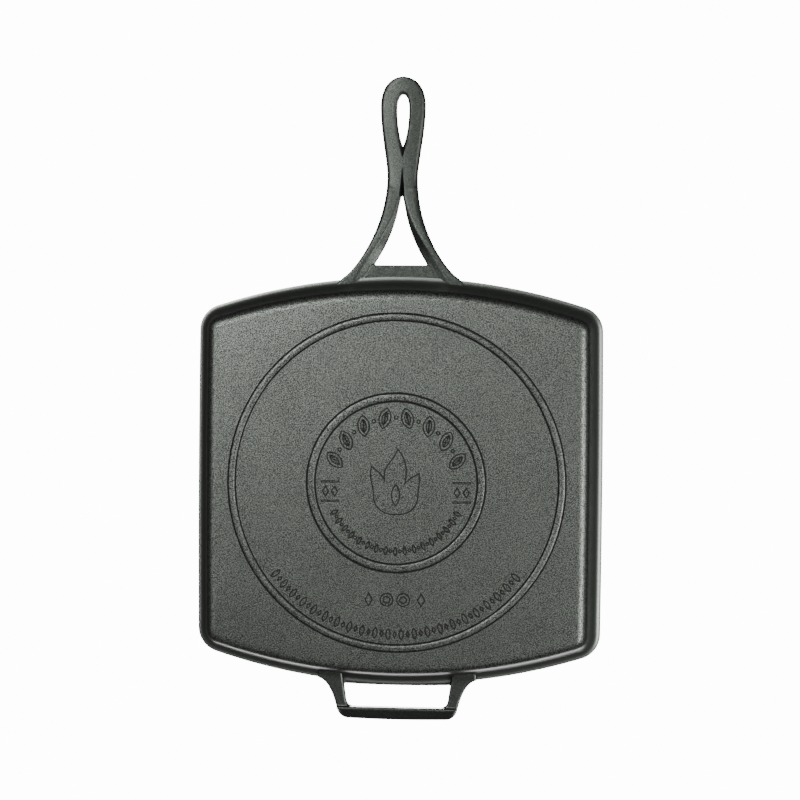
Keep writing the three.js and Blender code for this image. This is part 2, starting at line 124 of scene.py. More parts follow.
def use_modifier(piece: bpy.types.Object, kind: str, **settings: object) -> None:
    """Adds a modifier to a piece and applies it.

    Args:
        piece: The object to change.
        kind: The modifier's type.
        settings: Values for the modifier's properties.
    """
    pick(piece)
    modifier = piece.modifiers.new(kind.lower(), kind)
    for name, value in settings.items():
        setattr(modifier, name, value)
    bpy.ops.object.modifier_apply(modifier=modifier.name)


def carve(piece: bpy.types.Object, tool: bpy.types.Object) -> None:
    """Cuts a tool's shape out of a piece and throws the tool away."""
    use_modifier(piece, "BOOLEAN", object=tool, operation="DIFFERENCE", solver="EXACT")
    bpy.data.objects.remove(tool)


def blend(piece: bpy.types.Object, fineness: float) -> None:
    """Runs a piece's overlapping solids into each other with small fillets, in faces of the given size."""
    use_modifier(piece, "REMESH", mode="VOXEL", voxel_size=fineness)
    use_modifier(piece, "SMOOTH", factor=SMOOTHING, iterations=SMOOTH_PASSES)


def join(name: str, pieces: list[bpy.types.Object]) -> bpy.types.Object:
    """Joins pieces into one object.

    Args:
        name: The joined object's name.
        pieces: What to join.

    Returns:
        The joined object.
    """
    pick(*pieces)
    if len(pieces) > 1:
        bpy.ops.object.join()
    pieces[0].name = name
    return pieces[0]


def close_mesh(piece: bpy.types.Object, merge: float = MERGE) -> None:
    """Merges doubled vertices and turns the faces outwards.

    Args:
        piece: The object to close.
        merge: How near two vertices are to be one.
    """
    pick(piece)
    start_editing()
    bpy.ops.mesh.remove_doubles(threshold=merge)
    bpy.ops.mesh.normals_make_consistent(inside=False)
    stop_editing()


def shade(piece: bpy.types.Object, angle: float) -> None:
    """Shades a piece smooth, with a crease where its faces meet at more than an angle.

    Args:
        piece: The object to shade.
        angle: The angle in degrees.
    """
    pick(piece)
    bpy.ops.object.shade_smooth_by_angle(angle=math.radians(angle))


def sweep(name: str, sections: list[Section]) -> bpy.types.Object:
    """A closed solid whose end face is extruded from section to section.

    Args:
        name: The object's name.
        sections: Closed outlines with the same number of points each.

    Returns:
        The solid.
    """
    piece = new_piece(name, sections[0], face=True)
    start_editing()
    bpy.ops.mesh.duplicate()
    for section in sections[1:]:
        bpy.ops.mesh.extrude_region_move()
        cage = bmesh.from_edit_mesh(piece.data)
        end = next(face for face in cage.faces if face.select)
        for vertex, place in zip(end.verts, section, strict=True):
            vertex.co = place
        bmesh.update_edit_mesh(piece.data)
    stop_editing()
    close_mesh(piece)
    return piece


@dataclass
class Drawing:
    """A flat outline drawn from one vertex, which is spun in arcs and extruded in straight lines."""

    name: str
    start: Vector
    piece: bpy.types.Object = field(init=False)

    def __post_init__(self) -> None:
        """Puts down the first vertex."""
        self.piece = new_piece(self.name, [self.start])
        start_editing()

    def arc(self, centre: Vector, turn: float, steps: int) -> "Drawing":
        """Spins the last vertex round a centre.

        Args:
            centre: The arc's centre.
            turn: The angle in radians, anticlockwise from above.
            steps: How many edges the arc has.

        Returns:
            This drawing.
        """
        bpy.ops.mesh.spin(steps=steps, angle=-turn, center=centre, axis=UP)
        return self

    def line(self, away: Vector) -> "Drawing":
        """Extrudes the last vertex.

        Args:
            away: How far, and which way.

        Returns:
            This drawing.
        """
        bpy.ops.mesh.extrude_vertices_move(TRANSFORM_OT_translate={"value": away})
        return self

    def fill(self, facing: float) -> bpy.types.Object:
        """Closes the outline and spans it with one face.

        Args:
            facing: 1 for a face that looks up, -1 for one that looks down.

        Returns:
            The object, still open in edit mode with its face selected.
        """
        bpy.ops.mesh.select_all(action="SELECT")
        bpy.ops.mesh.remove_doubles(threshold=MERGE)
        bpy.ops.mesh.edge_face_add()
        cage = bmesh.from_edit_mesh(self.piece.data)
        cage.normal_update()
        if next(iter(cage.faces)).normal.z * facing < 0:
            bpy.ops.mesh.flip_normals()
        return self.piece


def bezier(points: Profile, share: float) -> Vector:
    """A point on a flat cubic curve.

    Args:
        points: The curve's two ends with its two handles between them.
        share: How far along the curve, from 0 to 1.

    Returns:
        The point, with Z at 0.
    """
    rest = 1 - share
    weights = (rest**3, 3 * rest**2 * share, 3 * rest * share**2, share**3)
    return sum((Vector((x, y, 0)) * w for (x, y), w in zip(points, weights, strict=True)), Vector())


def across(points: Profile, y: float) -> float:
    """Where a flat cubic curve that always climbs in Y crosses a given Y.

    Args:
        points: The curve's two ends with its two handles between them.
        y: The height to look at.

    Returns:
        The curve's X there.
    """
    low, high = 0.0, 1.0
    for _ in range(CURVE_HALVINGS):
        middle = (low + high) / 2
        if bezier(points, middle).y < y:
            low = middle
        else:
            high = middle
    return bezier(points, (low + high) / 2).x


def mix(low: float, high: float, share: float) -> float:
    """The value a share of the way from one number to another."""
    return low + (high - low) * share


def ease(place: float, start: float, end: float) -> float:
    """A soft step from 0 at start to 1 at end."""
    share = min(max((place - start) / (end - start), 0.0), 1.0)
    return share * share * (3 - 2 * share)


def spaced(start: float, end: float, steps: int) -> list[float]:
    """Evenly spaced numbers from start to end, both included."""
    return [mix(start, end, i / steps) for i in range(steps + 1)]


def quarter(x: float, z: float, radius: float, start: float, end: float, steps: int = 4) -> Profile:
    """Points on a rounded corner of a section.

    Args:
        x: The corner's centre across.
        z: The corner's centre in height.
        radius: Its radius.
        start: Its first angle in degrees.
        end: Its last angle in degrees.
        steps: How many edges it has.

    Returns:
        The points as pairs of numbers.
    """
    turns = [math.radians(angle) for angle in spaced(start, end, steps)]
    return [(x + radius * math.cos(turn), z + radius * math.sin(turn)) for turn in turns]


# ---------------------------------------------------------------- finishes


def colour(code: str) -> tuple[float, float, float, float]:
    """Turns an sRGB hex code into a linear colour.

    Args:
        code: The code, with its leading #.

    Returns:
        Red, green, blue and a full alpha.
    """
    levels = [int(code[i : i + 2], 16) / 255 for i in (1, 3, 5)]
    red, green, blue = (v / 12.92 if v <= 0.04045 else ((v + 0.055) / 1.055) ** 2.4 for v in levels)
    return (red, green, blue, 1.0)


def add_node(
    tree: bpy.types.NodeTree, kind: str, settings: dict[str, str] | None = None, **inputs: object
) -> bpy.types.Node:
    """Adds a node with its settings, values and links.

    Args:
        tree: The node tree.
        kind: The node's type, without its leading ShaderNode.
        settings: Values for the node's own properties.
        inputs: What each input takes: a value, or an output to link from. An input goes by its name, with _
            for a space, or by in and its number.

    Returns:
        The node.
    """
    node = tree.nodes.new(f"ShaderNode{kind}")
    for name, value in (settings or {}).items():
        setattr(node, name, value)
    for name, value in inputs.items():
        numbered = name.startswith("in") and name[2:].isdigit()
        socket = node.inputs[int(name[2:]) if numbered else name.replace("_", " ")]
        if isinstance(value, bpy.types.NodeSocket):
            tree.links.new(value, socket)
        else:
            socket.default_value = value
    return node


def blank_material(name: str) -> tuple[bpy.types.Material, bpy.types.NodeTree]:
    """Adds a material with nothing in it.

    Args:
        name: The material's name.

    Returns:
        The material and its empty node tree.
    """
    material = bpy.data.materials.new(name)
    material.use_nodes = True
    material.node_tree.nodes.clear()
    return material, material.node_tree


@dataclass(frozen=True)
class SandCastIron:
    """Grey iron cast in a sand mould and seasoned with baked oil.

    The mould's sand leaves an even grit that looks speckled. The oil film makes it dark, slightly green and
    half glossy. The grit dies out between the two fade heights. Above them the casting is ground smooth.
    """

    name: str
    hollow: str = "#1c1e1c"
    crest: str = "#6f736e"
    metallic: float = 0.95
    gloss: tuple[float, float] = (0.3, 0.46)
    ground_gloss: float = 0.4
    grain_width: float = 0.62 * MM
    grain_height: float = 0.17 * MM
    grain_strength: float = 0.7
    grain_detail: float = 2.0
    grain_roughness: float = 0.6
    cell_share: float = 0.8
    cell_weight: float = -0.5
    patch_scale: float = 28.0
    patch_weight: float = 0.06
    smooth_sand: float = 0.35
    tone_range: tuple[float, float] = (0.15, 0.75)
    fade: tuple[float, float] | None = None

    def build(self) -> bpy.types.Material:
        """Makes the material."""
        material, tree = blank_material(self.name)
        place = add_node(tree, "TexCoord").outputs["Object"]
        grit = add_node(
            tree, "TexNoise", Vector=place, Scale=1 / self.grain_width, Detail=self.grain_detail,
            Roughness=self.grain_roughness,
        ).outputs["Fac"]
        cells = add_node(
            tree, "TexVoronoi", Vector=place, Scale=self.cell_share / self.grain_width
        ).outputs["Distance"]
        sand = add_node(
            tree, "Math", {"operation": "MULTIPLY_ADD"}, in0=cells, in1=self.cell_weight, in2=grit
        ).outputs[0]
        patch = add_node(
            tree, "TexNoise", Vector=place, Scale=self.patch_scale, Detail=self.grain_detail
        ).outputs["Fac"]
        keep: bpy.types.NodeSocket | float = 1.0
        if self.fade:
            height = add_node(tree, "SeparateXYZ", Vector=place).outputs["Z"]
            keep = add_node(
                tree, "MapRange", {"interpolation_type": "SMOOTHSTEP"},
                Value=height, From_Min=self.fade[0], From_Max=self.fade[1], To_Min=1.0, To_Max=0.0,
            ).outputs[0]
        lively = add_node(tree, "Mix", in0=keep, in2=self.smooth_sand, in3=sand).outputs[0]
        tone = add_node(
            tree, "Math", {"operation": "MULTIPLY_ADD"}, in0=patch, in1=self.patch_weight, in2=lively
        ).outputs[0]
        low, high = self.tone_range
        spread = add_node(tree, "MapRange", Value=tone, From_Min=low, From_Max=high).outputs[0]
        paint = add_node(
            tree, "Mix", {"data_type": "RGBA"}, in0=spread, in6=colour(self.hollow), in7=colour(self.crest)
        ).outputs[2]
        rough = add_node(
            tree, "MapRange", Value=tone, From_Min=low, From_Max=high,
            To_Min=self.gloss[1], To_Max=self.gloss[0],
        ).outputs[0]
        if self.fade:
            rough = add_node(tree, "Mix", in0=keep, in2=self.ground_gloss, in3=rough).outputs[0]
        force = add_node(
            tree, "Math", {"operation": "MULTIPLY"}, in0=keep, in1=self.grain_strength
        ).outputs[0]
        bump = add_node(tree, "Bump", Strength=force, Distance=self.grain_height, Height=sand).outputs[0]
        shader = add_node(
            tree, "BsdfPrincipled", Base_Color=paint, Roughness=rough, Normal=bump, Metallic=self.metallic
        ).outputs[0]
        add_node(tree, "OutputMaterial", Surface=shader)
        return material


@dataclass(frozen=True)
class PaintedCreaseShade:
    """Painted shade for creases and the sloping sides of relief. It is nearly black and dull, so creases are
    thin dark lines.
    """

    name: str = "painted_crease_shade"
    hollow: str = "#0b0c0b"
    crest: str = "#131413"
    roughness: float = 0.85
    sheen: float = 0.08
    grain_width: float = 1 * MM
    grain_height: float = 0.1 * MM
    grain_detail: float = 2.0
    grain_strength: float = 0.4

    def build(self) -> bpy.types.Material:
        """Makes the material."""
        material, tree = blank_material(self.name)
        place = add_node(tree, "TexCoord").outputs["Object"]
        grit = add_node(
            tree, "TexNoise", Vector=place, Scale=1 / self.grain_width, Detail=self.grain_detail
        ).outputs["Fac"]
        paint = add_node(
            tree, "Mix", {"data_type": "RGBA"}, in0=grit, in6=colour(self.hollow), in7=colour(self.crest)
        ).outputs[2]
        bump = add_node(
            tree, "Bump", Strength=self.grain_strength, Distance=self.grain_height, Height=grit
        ).outputs[0]
        shader = add_node(
            tree, "BsdfPrincipled", Base_Color=paint, Roughness=self.roughness, Normal=bump,
            Specular_IOR_Level=self.sheen,
        ).outputs[0]
        add_node(tree, "OutputMaterial", Surface=shader)
        return material


def dress(piece: bpy.types.Object, *materials: bpy.types.Material) -> None:
    """Gives a piece these materials, in order.

    Args:
        piece: The object to dress.
        materials: Its materials. The first is on every face that isn't told otherwise.
    """
    piece.data.materials.clear()
    for material in materials:
        piece.data.materials.append(material)


def paint_shade_where(piece: bpy.types.Object, inside: Callable[[bpy.types.MeshPolygon], bool]) -> None:
    """Puts a piece's second material, a painted shade, on some of its faces.

    Args:
        piece: The object.
        inside: Says whether a face takes it.
    """
    for face in piece.data.polygons:
        face.material_index = 1 if inside(face) else 0


# ---------------------------------------------------------------- places taken from the frame


@dataclass(frozen=True)
class Places:
    """Sizes and places of the skillet, measured on the frame, with the pan's middle at X = 0, Y = 0."""

    middle: float = (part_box("rim")[0].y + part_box("rim")[1].y) / 2
    half_width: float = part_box("rim")[1].x
    half_length: float = (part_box("rim")[1].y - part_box("rim")[0].y) / 2
    rim_top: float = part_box("rim")[1].z
    underside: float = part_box("cooking_floor")[0].z
    cooking_face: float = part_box("cooking_floor")[1].z
    ring_radius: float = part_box("heat_ring")[1].x
    handle_tip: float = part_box("handle_loop")[1].y - middle
    handle_low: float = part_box("handle_loop")[0].z
    handle_top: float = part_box("handle_loop")[1].z
    helper_tip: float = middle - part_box("helper_grip")[0].y
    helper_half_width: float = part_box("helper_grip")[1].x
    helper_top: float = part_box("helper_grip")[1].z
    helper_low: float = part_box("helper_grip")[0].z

    def settle(self, piece: bpy.types.Object) -> None:
        """Moves a finished mesh from the drawing's origin to its place in the frame."""
        piece.data.transform(Matrix.Translation((0, self.middle, 0)))


AT = Places()


def hand_over(piece: bpy.types.Object, slot: Slot, *nodes: str) -> None:
    """Puts a finished piece in its place and tells the frame about it.

    Args:
        piece: The object.
        slot: The record's slot that its finish stands for; not used.
        nodes: The CAD nodes that it stands for.
    """
    AT.settle(piece)
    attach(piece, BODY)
    if nodes:
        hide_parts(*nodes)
    log.info("%s: %d faces", piece.name, len(piece.data.polygons))


# ---------------------------------------------------------------- the pan


@dataclass
class Pan:
    """The pan: its floor, flared wall and rim, with the heat ring and the medallion's border underneath."""

    end_arc: float = 450 * MM
    side_arc: float = 11
    corner: float = 19.5 * MM
    wall_spread: float = 17.5 * MM
    base_edge: float = 8 * MM
    steepest: float = 75
    lip_angle: float = 4
    lip_drop: float = 3 * MM
    lip_round: float = 1.2 * MM
    wall_ease: float = 7 * MM
    lip_ease: float = 7 * MM
    wall: float = 3.3 * MM
    floor: float = AT.cooking_face - AT.underside
    floor_step: float = 1.2 * MM
    side_steps: int = 12
    corner_steps: int = 12
    end_steps: int = 108
    base_steps: int = 14
    wall_steps: int = 22
    lip_steps: int = 5
    crease_angle: float = 38
    # The depth and reach of the crease faces that get painted shade.
    painted_shade_top: float = 0.05 * MM
    painted_shade_reach: float = 2 * MM
    bead_start: float = 12
    bead_fullness: float = 0.6
    bead_steps: int = 10
    field_radius: float = 100 * MM
    centre_radius: float = 30 * MM
    level_slack: float = 0.1 * MM
    well_spare: float = 0.8 * MM
    well_headroom: float = 20 * MM
    plate_radius: float = 129 * MM
    ring_width: float = 4.6 * MM
    ring_crease: float = 0.5 * MM
    medallion_crease: float = 0.75 * MM
    medallion_radius: float = 65.8 * MM
    medallion_width: float = 4.6 * MM
    medallion_height: float = 0.45 * MM

    def outline(self, name: str, height: float, facing: float) -> bpy.types.Object:
        """The rim's outline in plan as one face: four bowed sides and four round corners, drawn by spinning.

        Args:
            name: The object's name.
            height: The face's height.
            facing: 1 for a face that looks up, -1 for one that looks down.

        Returns:
            The object, open in edit mode.
        """
        end = Vector((0, AT.half_length - self.end_arc))
        side = Vector((AT.half_width - self.side_arc, 0))
        reach_end, reach_side = self.end_arc - self.corner, self.side_arc - self.corner
        apart = (side - end).length
        along = (reach_end**2 - reach_side**2 + apart**2) / (2 * apart)
        towards = (side - end) / apart
        outward = Vector((towards.y, -towards.x))
        centre = end + towards * along + outward * math.sqrt(reach_end**2 - along**2)
        side_turn = math.atan2(centre.y - side.y, centre.x - side.x)
        end_turn = math.atan2(centre.y - end.y, centre.x - end.x)
        start = side + self.side_arc * Vector((math.cos(side_turn), -math.sin(side_turn)))
        drawing = Drawing(name, start.to_3d() + height * UP)
        for turned in (1, -1):
            for middle, turn, steps in (
                (side * turned, 2 * side_turn, self.side_steps),
                (centre * turned, end_turn - side_turn, self.corner_steps),
                (end * turned, math.pi - 2 * end_turn, self.end_steps),
                (Vector((-centre.x, centre.y)) * turned, end_turn - side_turn, self.corner_steps),
            ):
                drawing.arc(middle.to_3d() + height * UP, turn, steps)
        return drawing.fill(facing)

    def skin(self, name: str, profile: Profile, facing: float) -> bpy.types.Object:
        """A skin that follows a profile inwards from the rim's outline, by one inset after another.

        Args:
            name: The object's name.
            profile: Insets from the rim's outline, with the height at each.
            facing: 1 for a skin that looks up, -1 for one that looks down.

        Returns:
            The skin, closed by a flat face in the middle.
        """
        piece = self.outline(name, profile[0][1], facing)
        last_inset, last_height = 0.0, profile[0][1]
        for inset, height in profile:
            if inset != last_inset or height != last_height:
                bpy.ops.mesh.inset(thickness=inset - last_inset, depth=facing * (height - last_height))
            last_inset, last_height = inset, height
        stop_editing()
        return piece

    def wall_outside(self) -> Profile:
        """Draws the wall's outer profile from the base edge up to the lip.

        Returns:
            Insets from the rim's outline, with the height at each.
        """
        turn = math.radians(self.steepest)
        base = quarter(
            self.wall_spread, AT.underside + self.base_edge, self.base_edge,
            -90, -90 - self.steepest, self.base_steps,
        )
        foot = base[-1]
        lip = (0.0, AT.rim_top - self.lip_drop)
        flare = math.radians(self.lip_angle)
        curve = [
            foot,
            (foot[0] - self.wall_ease * math.cos(turn), foot[1] + self.wall_ease * math.sin(turn)),
            (lip[0] + self.lip_ease * math.cos(flare), lip[1] - self.lip_ease * math.sin(flare)),
            lip,
        ]
        return base + [tuple(bezier(curve, share))[:2] for share in spaced(0, 1, self.wall_steps)[1:]]

    def wall_inside(self, spare: float = 0.0) -> Profile:
        """Draws the wall's inner profile from the rim's crest down to the cooking face.

        Args:
            spare: How much nearer to the outside it runs than the real inner face.

        Returns:
            Insets from the rim's outline, with the height at each.
        """
        outside = self.wall_outside()
        inside = []
        for i, point in enumerate(outside):
            before, after = outside[max(i - 1, 0)], outside[min(i + 1, len(outside) - 1)]
            along = Vector((after[0] - before[0], after[1] - before[1])).normalized()
            share = i / (len(outside) - 1)
            thick = mix(self.floor, self.wall, share) - spare
            if i == 0:
                along = Vector((-1, 0))
            height = min(point[1] - along.x * thick, AT.rim_top)
            inside.append((point[0] + along.y * thick, height))
        return inside[::-1]

    def shell(self) -> bpy.types.Object:
        """Models the wall's outside, the rim's crest, the wall's inside and the cooking face.

        Returns:
            The shell, open where the turned plate goes.
        """
        outside = self.wall_outside()[::-1]
        under = self.skin("pan_shell", outside, -1)
        self.open_plate(under)
        crest = quarter(self.lip_round, AT.rim_top - self.lip_round, self.lip_round, 180, 90, self.lip_steps)
        inside = [point for point in self.wall_inside() if point[0] > self.lip_round]
        plate = [(self.wall_spread + self.floor_step, AT.cooking_face)]
        top = self.skin("pan_inside", [outside[0], *crest, *inside, *plate], 1)
        return join("pan_shell", [under, top])

    def open_plate(self, piece: bpy.types.Object) -> None:
        """Takes away the flat face in the middle of the underside, where the turned plate goes."""
        start_editing()
        bpy.ops.mesh.select_all(action="DESELECT")
        cage = bmesh.from_edit_mesh(piece.data)
        middle = min(cage.faces, key=lambda face: face.calc_center_median().length)
        middle.select_set(True)
        bmesh.update_edit_mesh(piece.data)
        bpy.ops.mesh.delete(type="ONLY_FACE")
        stop_editing()

    def bead(self, outer: float, width: float, height: float, crease: float) -> Profile:
        """Draws the profile of a low round bead with a crease along each side, from outside to inside.

        Args:
            outer: The bead's outer radius.
            width: Its width.
            height: How far it stands out.
            crease: Half the width of a crease, which is as deep as that too.

        Returns:
            Radii and heights.
        """
        face = AT.underside
        inner = outer - width
        turns = spaced(math.radians(self.bead_start), math.radians(180 - self.bead_start), self.bead_steps)
        crest = [
            (
                mix(outer, inner, (1 - math.cos(turn)) / 2),
                face - height * math.sin(turn) ** self.bead_fullness,
            )
            for turn in turns
        ]
        return [
            (outer + 2 * crease, face),
            (outer + crease, face + crease),
            (outer, face),
            *crest,
            (inner, face),
            (inner - crease, face + crease),
            (inner - 2 * crease, face),
        ]

    def plate(self) -> bpy.types.Object:
        """Models the middle of the underside with its two beads, turned about the pan's axis.

        Returns:
            The plate.
        """
        face = AT.underside
        steps = 2 * (self.side_steps + 2 * self.corner_steps + self.end_steps)
        profile = [
            (self.plate_radius, face),
            *self.bead(AT.ring_radius - self.ring_crease / 4, self.ring_width, face, self.ring_crease),
            (self.field_radius, face),
            *self.bead(
                self.medallion_radius, self.medallion_width, self.medallion_height, self.medallion_crease
            ),
            (self.centre_radius, face),
            (0.0, face),
        ]
        piece = new_piece("pan_plate", [Vector((self.plate_radius, 0, face))])
        start_editing()
        for before, after in zip(profile, profile[1:], strict=False):
            step = Vector((after[0] - before[0], 0, after[1] - before[1]))
            bpy.ops.mesh.extrude_vertices_move(TRANSFORM_OT_translate={"value": step})
        bpy.ops.mesh.select_all(action="SELECT")
        bpy.ops.mesh.spin(steps=steps, angle=2 * math.pi, center=(0, 0, 0), axis=UP)
        bpy.ops.mesh.select_all(action="SELECT")
        bpy.ops.mesh.remove_doubles(threshold=AXIS_MERGE)
        stop_editing()
        return piece

    def set_plate(self, piece: bpy.types.Object) -> None:
        """Joins the plate's edge to the wall's foot."""
        start_editing()
        bpy.ops.mesh.select_all(action="DESELECT")
        bpy.ops.mesh.select_non_manifold(
            extend=False, use_wire=False, use_multi_face=False, use_non_contiguous=False, use_verts=False
        )
        cage = bmesh.from_edit_mesh(piece.data)
        for edge in cage.edges:
            if edge.select and abs(edge.verts[0].co.z - AT.underside) > self.level_slack:
                edge.select_set(False)
        bmesh.update_edit_mesh(piece.data)
        bpy.ops.mesh.fill(use_beauty=True)
        stop_editing()

    def takes_painted_shade(self, face: bpy.types.MeshPolygon) -> bool:
        """Whether a face is one side of a crease beside a bead, which gets painted shade.

        Args:
            face: The face.

        Returns:
            True if it is.
        """
        beside = math.hypot(face.center.x, face.center.y) < AT.ring_radius + self.painted_shade_reach
        depth = face.center.z - AT.underside
        return beside and self.painted_shade_top < depth < self.medallion_crease

    def build(self, iron: bpy.types.Material, crease: bpy.types.Material) -> bpy.types.Object:
        """Models and dresses the pan.

        Args:
            iron: The finish of the casting.
            crease: The painted shade of its creases.

        Returns:
            The finished piece.
        """
        piece = join("pan", [self.shell(), self.plate()])
        self.set_plate(piece)
        close_mesh(piece)
        shade(piece, self.crease_angle)
        dress(piece, iron, crease)
        # Painted shade: the crease faces beside the beads take the near-black second material.
        paint_shade_where(piece, self.takes_painted_shade)
        hand_over(piece, Slot.SAND_CAST, "cooking_floor", "side_wall", "rim", "heat_ring")
        return piece

    def well(self) -> bpy.types.Object:
        """Models the space inside the pan, a little larger, for trimming what is cast onto the wall.

        Returns:
            The space as a solid.
        """
        inside = self.wall_inside(self.well_spare)
        high = AT.handle_top + self.well_headroom
        piece = self.skin("well", [(inside[0][0], high), *inside], 1)
        start_editing()
        bpy.ops.mesh.select_all(action="DESELECT")
        bpy.ops.mesh.select_non_manifold()
        bpy.ops.mesh.edge_face_add()
        stop_editing()
        close_mesh(piece)
        return piece


# ---------------------------------------------------------------- the long handle


@dataclass
class LongHandle:
    """The forked long handle with its root web, loop and hanging hole."""

    thickness: float = AT.handle_top - AT.handle_low
    edge: float = 3.5 * MM
    foot_thickness: float = 4.4 * MM
    foot_length: float = 45 * MM
    rise_length: float = 95 * MM
    foot_half: float = 43 * MM
    waist_half: float = 11.55 * MM
    waist_length: float = 75.5 * MM
    fork_length: float = 63.5 * MM
    gap_half: float = 20 * MM
    web_length: float = 9 * MM
    web_thickness: float = 2.3 * MM
    web_drop: float = 0.5 * MM
    loop_half: float = 17.1 * MM
    loop_back: float = 22.5 * MM
    hole_half: float = 4.55 * MM
    hole_widest_back: float = 24 * MM
    hole_top_back: float = 13.5 * MM
    hole_length: float = 39.2 * MM
    hole_edge: float = 3 * MM
    notch_length: float = 8.3 * MM
    chamfer_wide: float = 8 * MM
    chamfer_narrow: float = 1.6 * MM
    chamfer_length: float = 62 * MM
    chamfer_slope: float = 0.7
    chamfer_limit: float = 0.62
    crown: float = 0.8 * MM
    groove_end: float = 19 * MM
    groove_start: float = 3 * MM
    groove_wide: tuple[float, float] = (2.2 * MM, 0.3 * MM)
    groove_deep: tuple[float, float] = (4.4 * MM, 0.3 * MM)
    notch_into: float = 4 * MM
    notch_wide: tuple[float, float] = (0.05 * MM, 3.6 * MM)
    notch_deep: tuple[float, float] = (0.05 * MM, 4.2 * MM)
    buried: float = 9 * MM
    overlap: float = 4 * MM
    proud: float = 1 * MM
    slit: float = 0.05 * MM
    slit_end: float = 2 * MM
    past_middle: float = 0.6 * MM
    web_overlap: float = 1.5 * MM
    foot_pull: float = 3 * MM
    waist_pull: float = 0.4
    swell_pulls: tuple[float, float] = (0.2, 0.65)
    nose_pulls: tuple[float, float] = (0.62, 0.61)
    nose_share: float = 0.97
    gap_pulls: tuple[tuple[float, float], tuple[float, float]] = ((0.18, 0.55), (0.2, 0.76))
    gap_start: float = 0.02
    rise_lift: float = 0.07
    rise_pulls: tuple[float, float] = (0.42, 0.58)
    hole_top_pulls: tuple[float, float] = (0.57, 0.6)
    hole_low_pulls: tuple[float, float, float] = (0.66, 0.24, 0.62)
    strut_steps: int = 56
    palm_steps: int = 48
    nose_steps: int = 26
    web_steps: int = 8
    face_steps: int = 8
    hole_low_steps: int = 22
    hole_top_steps: int = 12
    flare_steps: int = 6
    wedge_steps: int = 6
    crease_angle: float = 30
    fineness: float = 0.6 * MM

    def __post_init__(self) -> None:
        """Works out the places and curves that the sections follow."""
        self.root = AT.half_length
        self.waist = self.root + self.waist_length
        self.fork = self.root + self.fork_length
        self.web_end = self.root + self.web_length
        self.widest = AT.handle_tip - self.loop_back
        self.middle = (AT.handle_low + AT.handle_top) / 2
        self.foot_height = AT.rim_top - self.foot_thickness / 2
        self.hole_widest = AT.handle_tip - self.hole_widest_back
        self.hole_top = AT.handle_tip - self.hole_top_back
        self.hole_low = self.hole_top - self.hole_length
        self.outer_low = [
            (self.foot_half, self.root), (self.foot_half - self.foot_pull, self.root),
            (self.waist_half, self.root + self.waist_pull * self.waist_length), (self.waist_half, self.waist),
        ]
        self.outer_high = [
            (self.waist_half, self.waist),
            (self.waist_half, mix(self.waist, self.widest, self.swell_pulls[0])),
            (self.loop_half, mix(self.waist, self.widest, self.swell_pulls[1])),
            (self.loop_half, self.widest),
        ]
        self.nose = [
            (self.loop_half, self.widest),
            (self.loop_half, mix(self.widest, AT.handle_tip, self.nose_pulls[0])),
            (self.nose_pulls[1] * self.loop_half, AT.handle_tip),
            (0.0, AT.handle_tip),
        ]
        pulled = [(x * self.gap_half, self.root + y * self.fork_length) for x, y in self.gap_pulls]
        self.gap = [(self.gap_half, self.web_end), *pulled, (0.0, self.fork)]
        self.rise = [
            (self.foot_height, self.root),
            (
                mix(self.foot_height, self.middle, self.rise_lift),
                self.root + self.rise_pulls[0] * self.rise_length,
            ),
            (self.middle, self.root + self.rise_pulls[1] * self.rise_length),
            (self.middle, self.root + self.rise_length),
        ]

    def half(self, y: float) -> float:
        """Finds half the handle's width.

        Args:
            y: Where to measure it.

        Returns:
            Half the width.
        """
        if y < self.root:
            return self.foot_half + (self.root - y)
        return across(self.outer_low if y < self.waist else self.outer_high, y)

    def gap_at(self, y: float) -> float:
        """Finds half the gap between the struts. Beside the web it runs straight on.

        Args:
            y: Where to measure it.

        Returns:
            Half the gap.
        """
        if y < self.web_end:
            near = bezier(self.gap, self.gap_start)
            slope = (near.x - self.gap_half) / (near.y - self.web_end)
            return self.gap_half + (y - self.web_end) * slope
        return across(self.gap, y)

    def height(self, y: float) -> float:
        """Finds the height of the handle's middle.

        Args:
            y: Where to measure it.

        Returns:
            The height.
        """
        if y <= self.root:
            return self.foot_height
        return across(self.rise, y) if y < self.root + self.rise_length else self.middle

    def depth(self, y: float) -> float:
        """The handle's thickness at a given Y."""
        return mix(self.foot_thickness, self.thickness, ease(y, self.root, self.root + self.foot_length))

    def bar(self, y: float, half: float, depth: float, edge: float) -> Section:
        """Draws a rounded, slightly crowned section right across the handle.

        Args:
            y: Where it is.
            half: Half its width.
            depth: Its thickness.
            edge: The radius of its corners.

        Returns:
            The section's outline.
        """
        low, high = self.height(y) - depth / 2, self.height(y) + depth / 2
        edge = min(edge, 0.4 * depth, 0.9 * half)
        fall = self.crown * min(half / self.loop_half, 1) ** 2
        face = [(share * (half - edge), fall * share**2) for share in spaced(-1, 1, self.face_steps)[1:-1]]
        corners = [
            *[(x, low + down) for x, down in face],
            *quarter(half - edge, low + fall + edge, edge, -90, 0),
            *quarter(half - edge, high - fall - edge, edge, 0, 90),
            *[(-x, high - down) for x, down in face],
            *quarter(edge - half, high - fall - edge, edge, 90, 180),
            *quarter(edge - half, low + fall + edge, edge, 180, 270),
        ]
        return [Vector((x, y, z)) for x, z in corners]

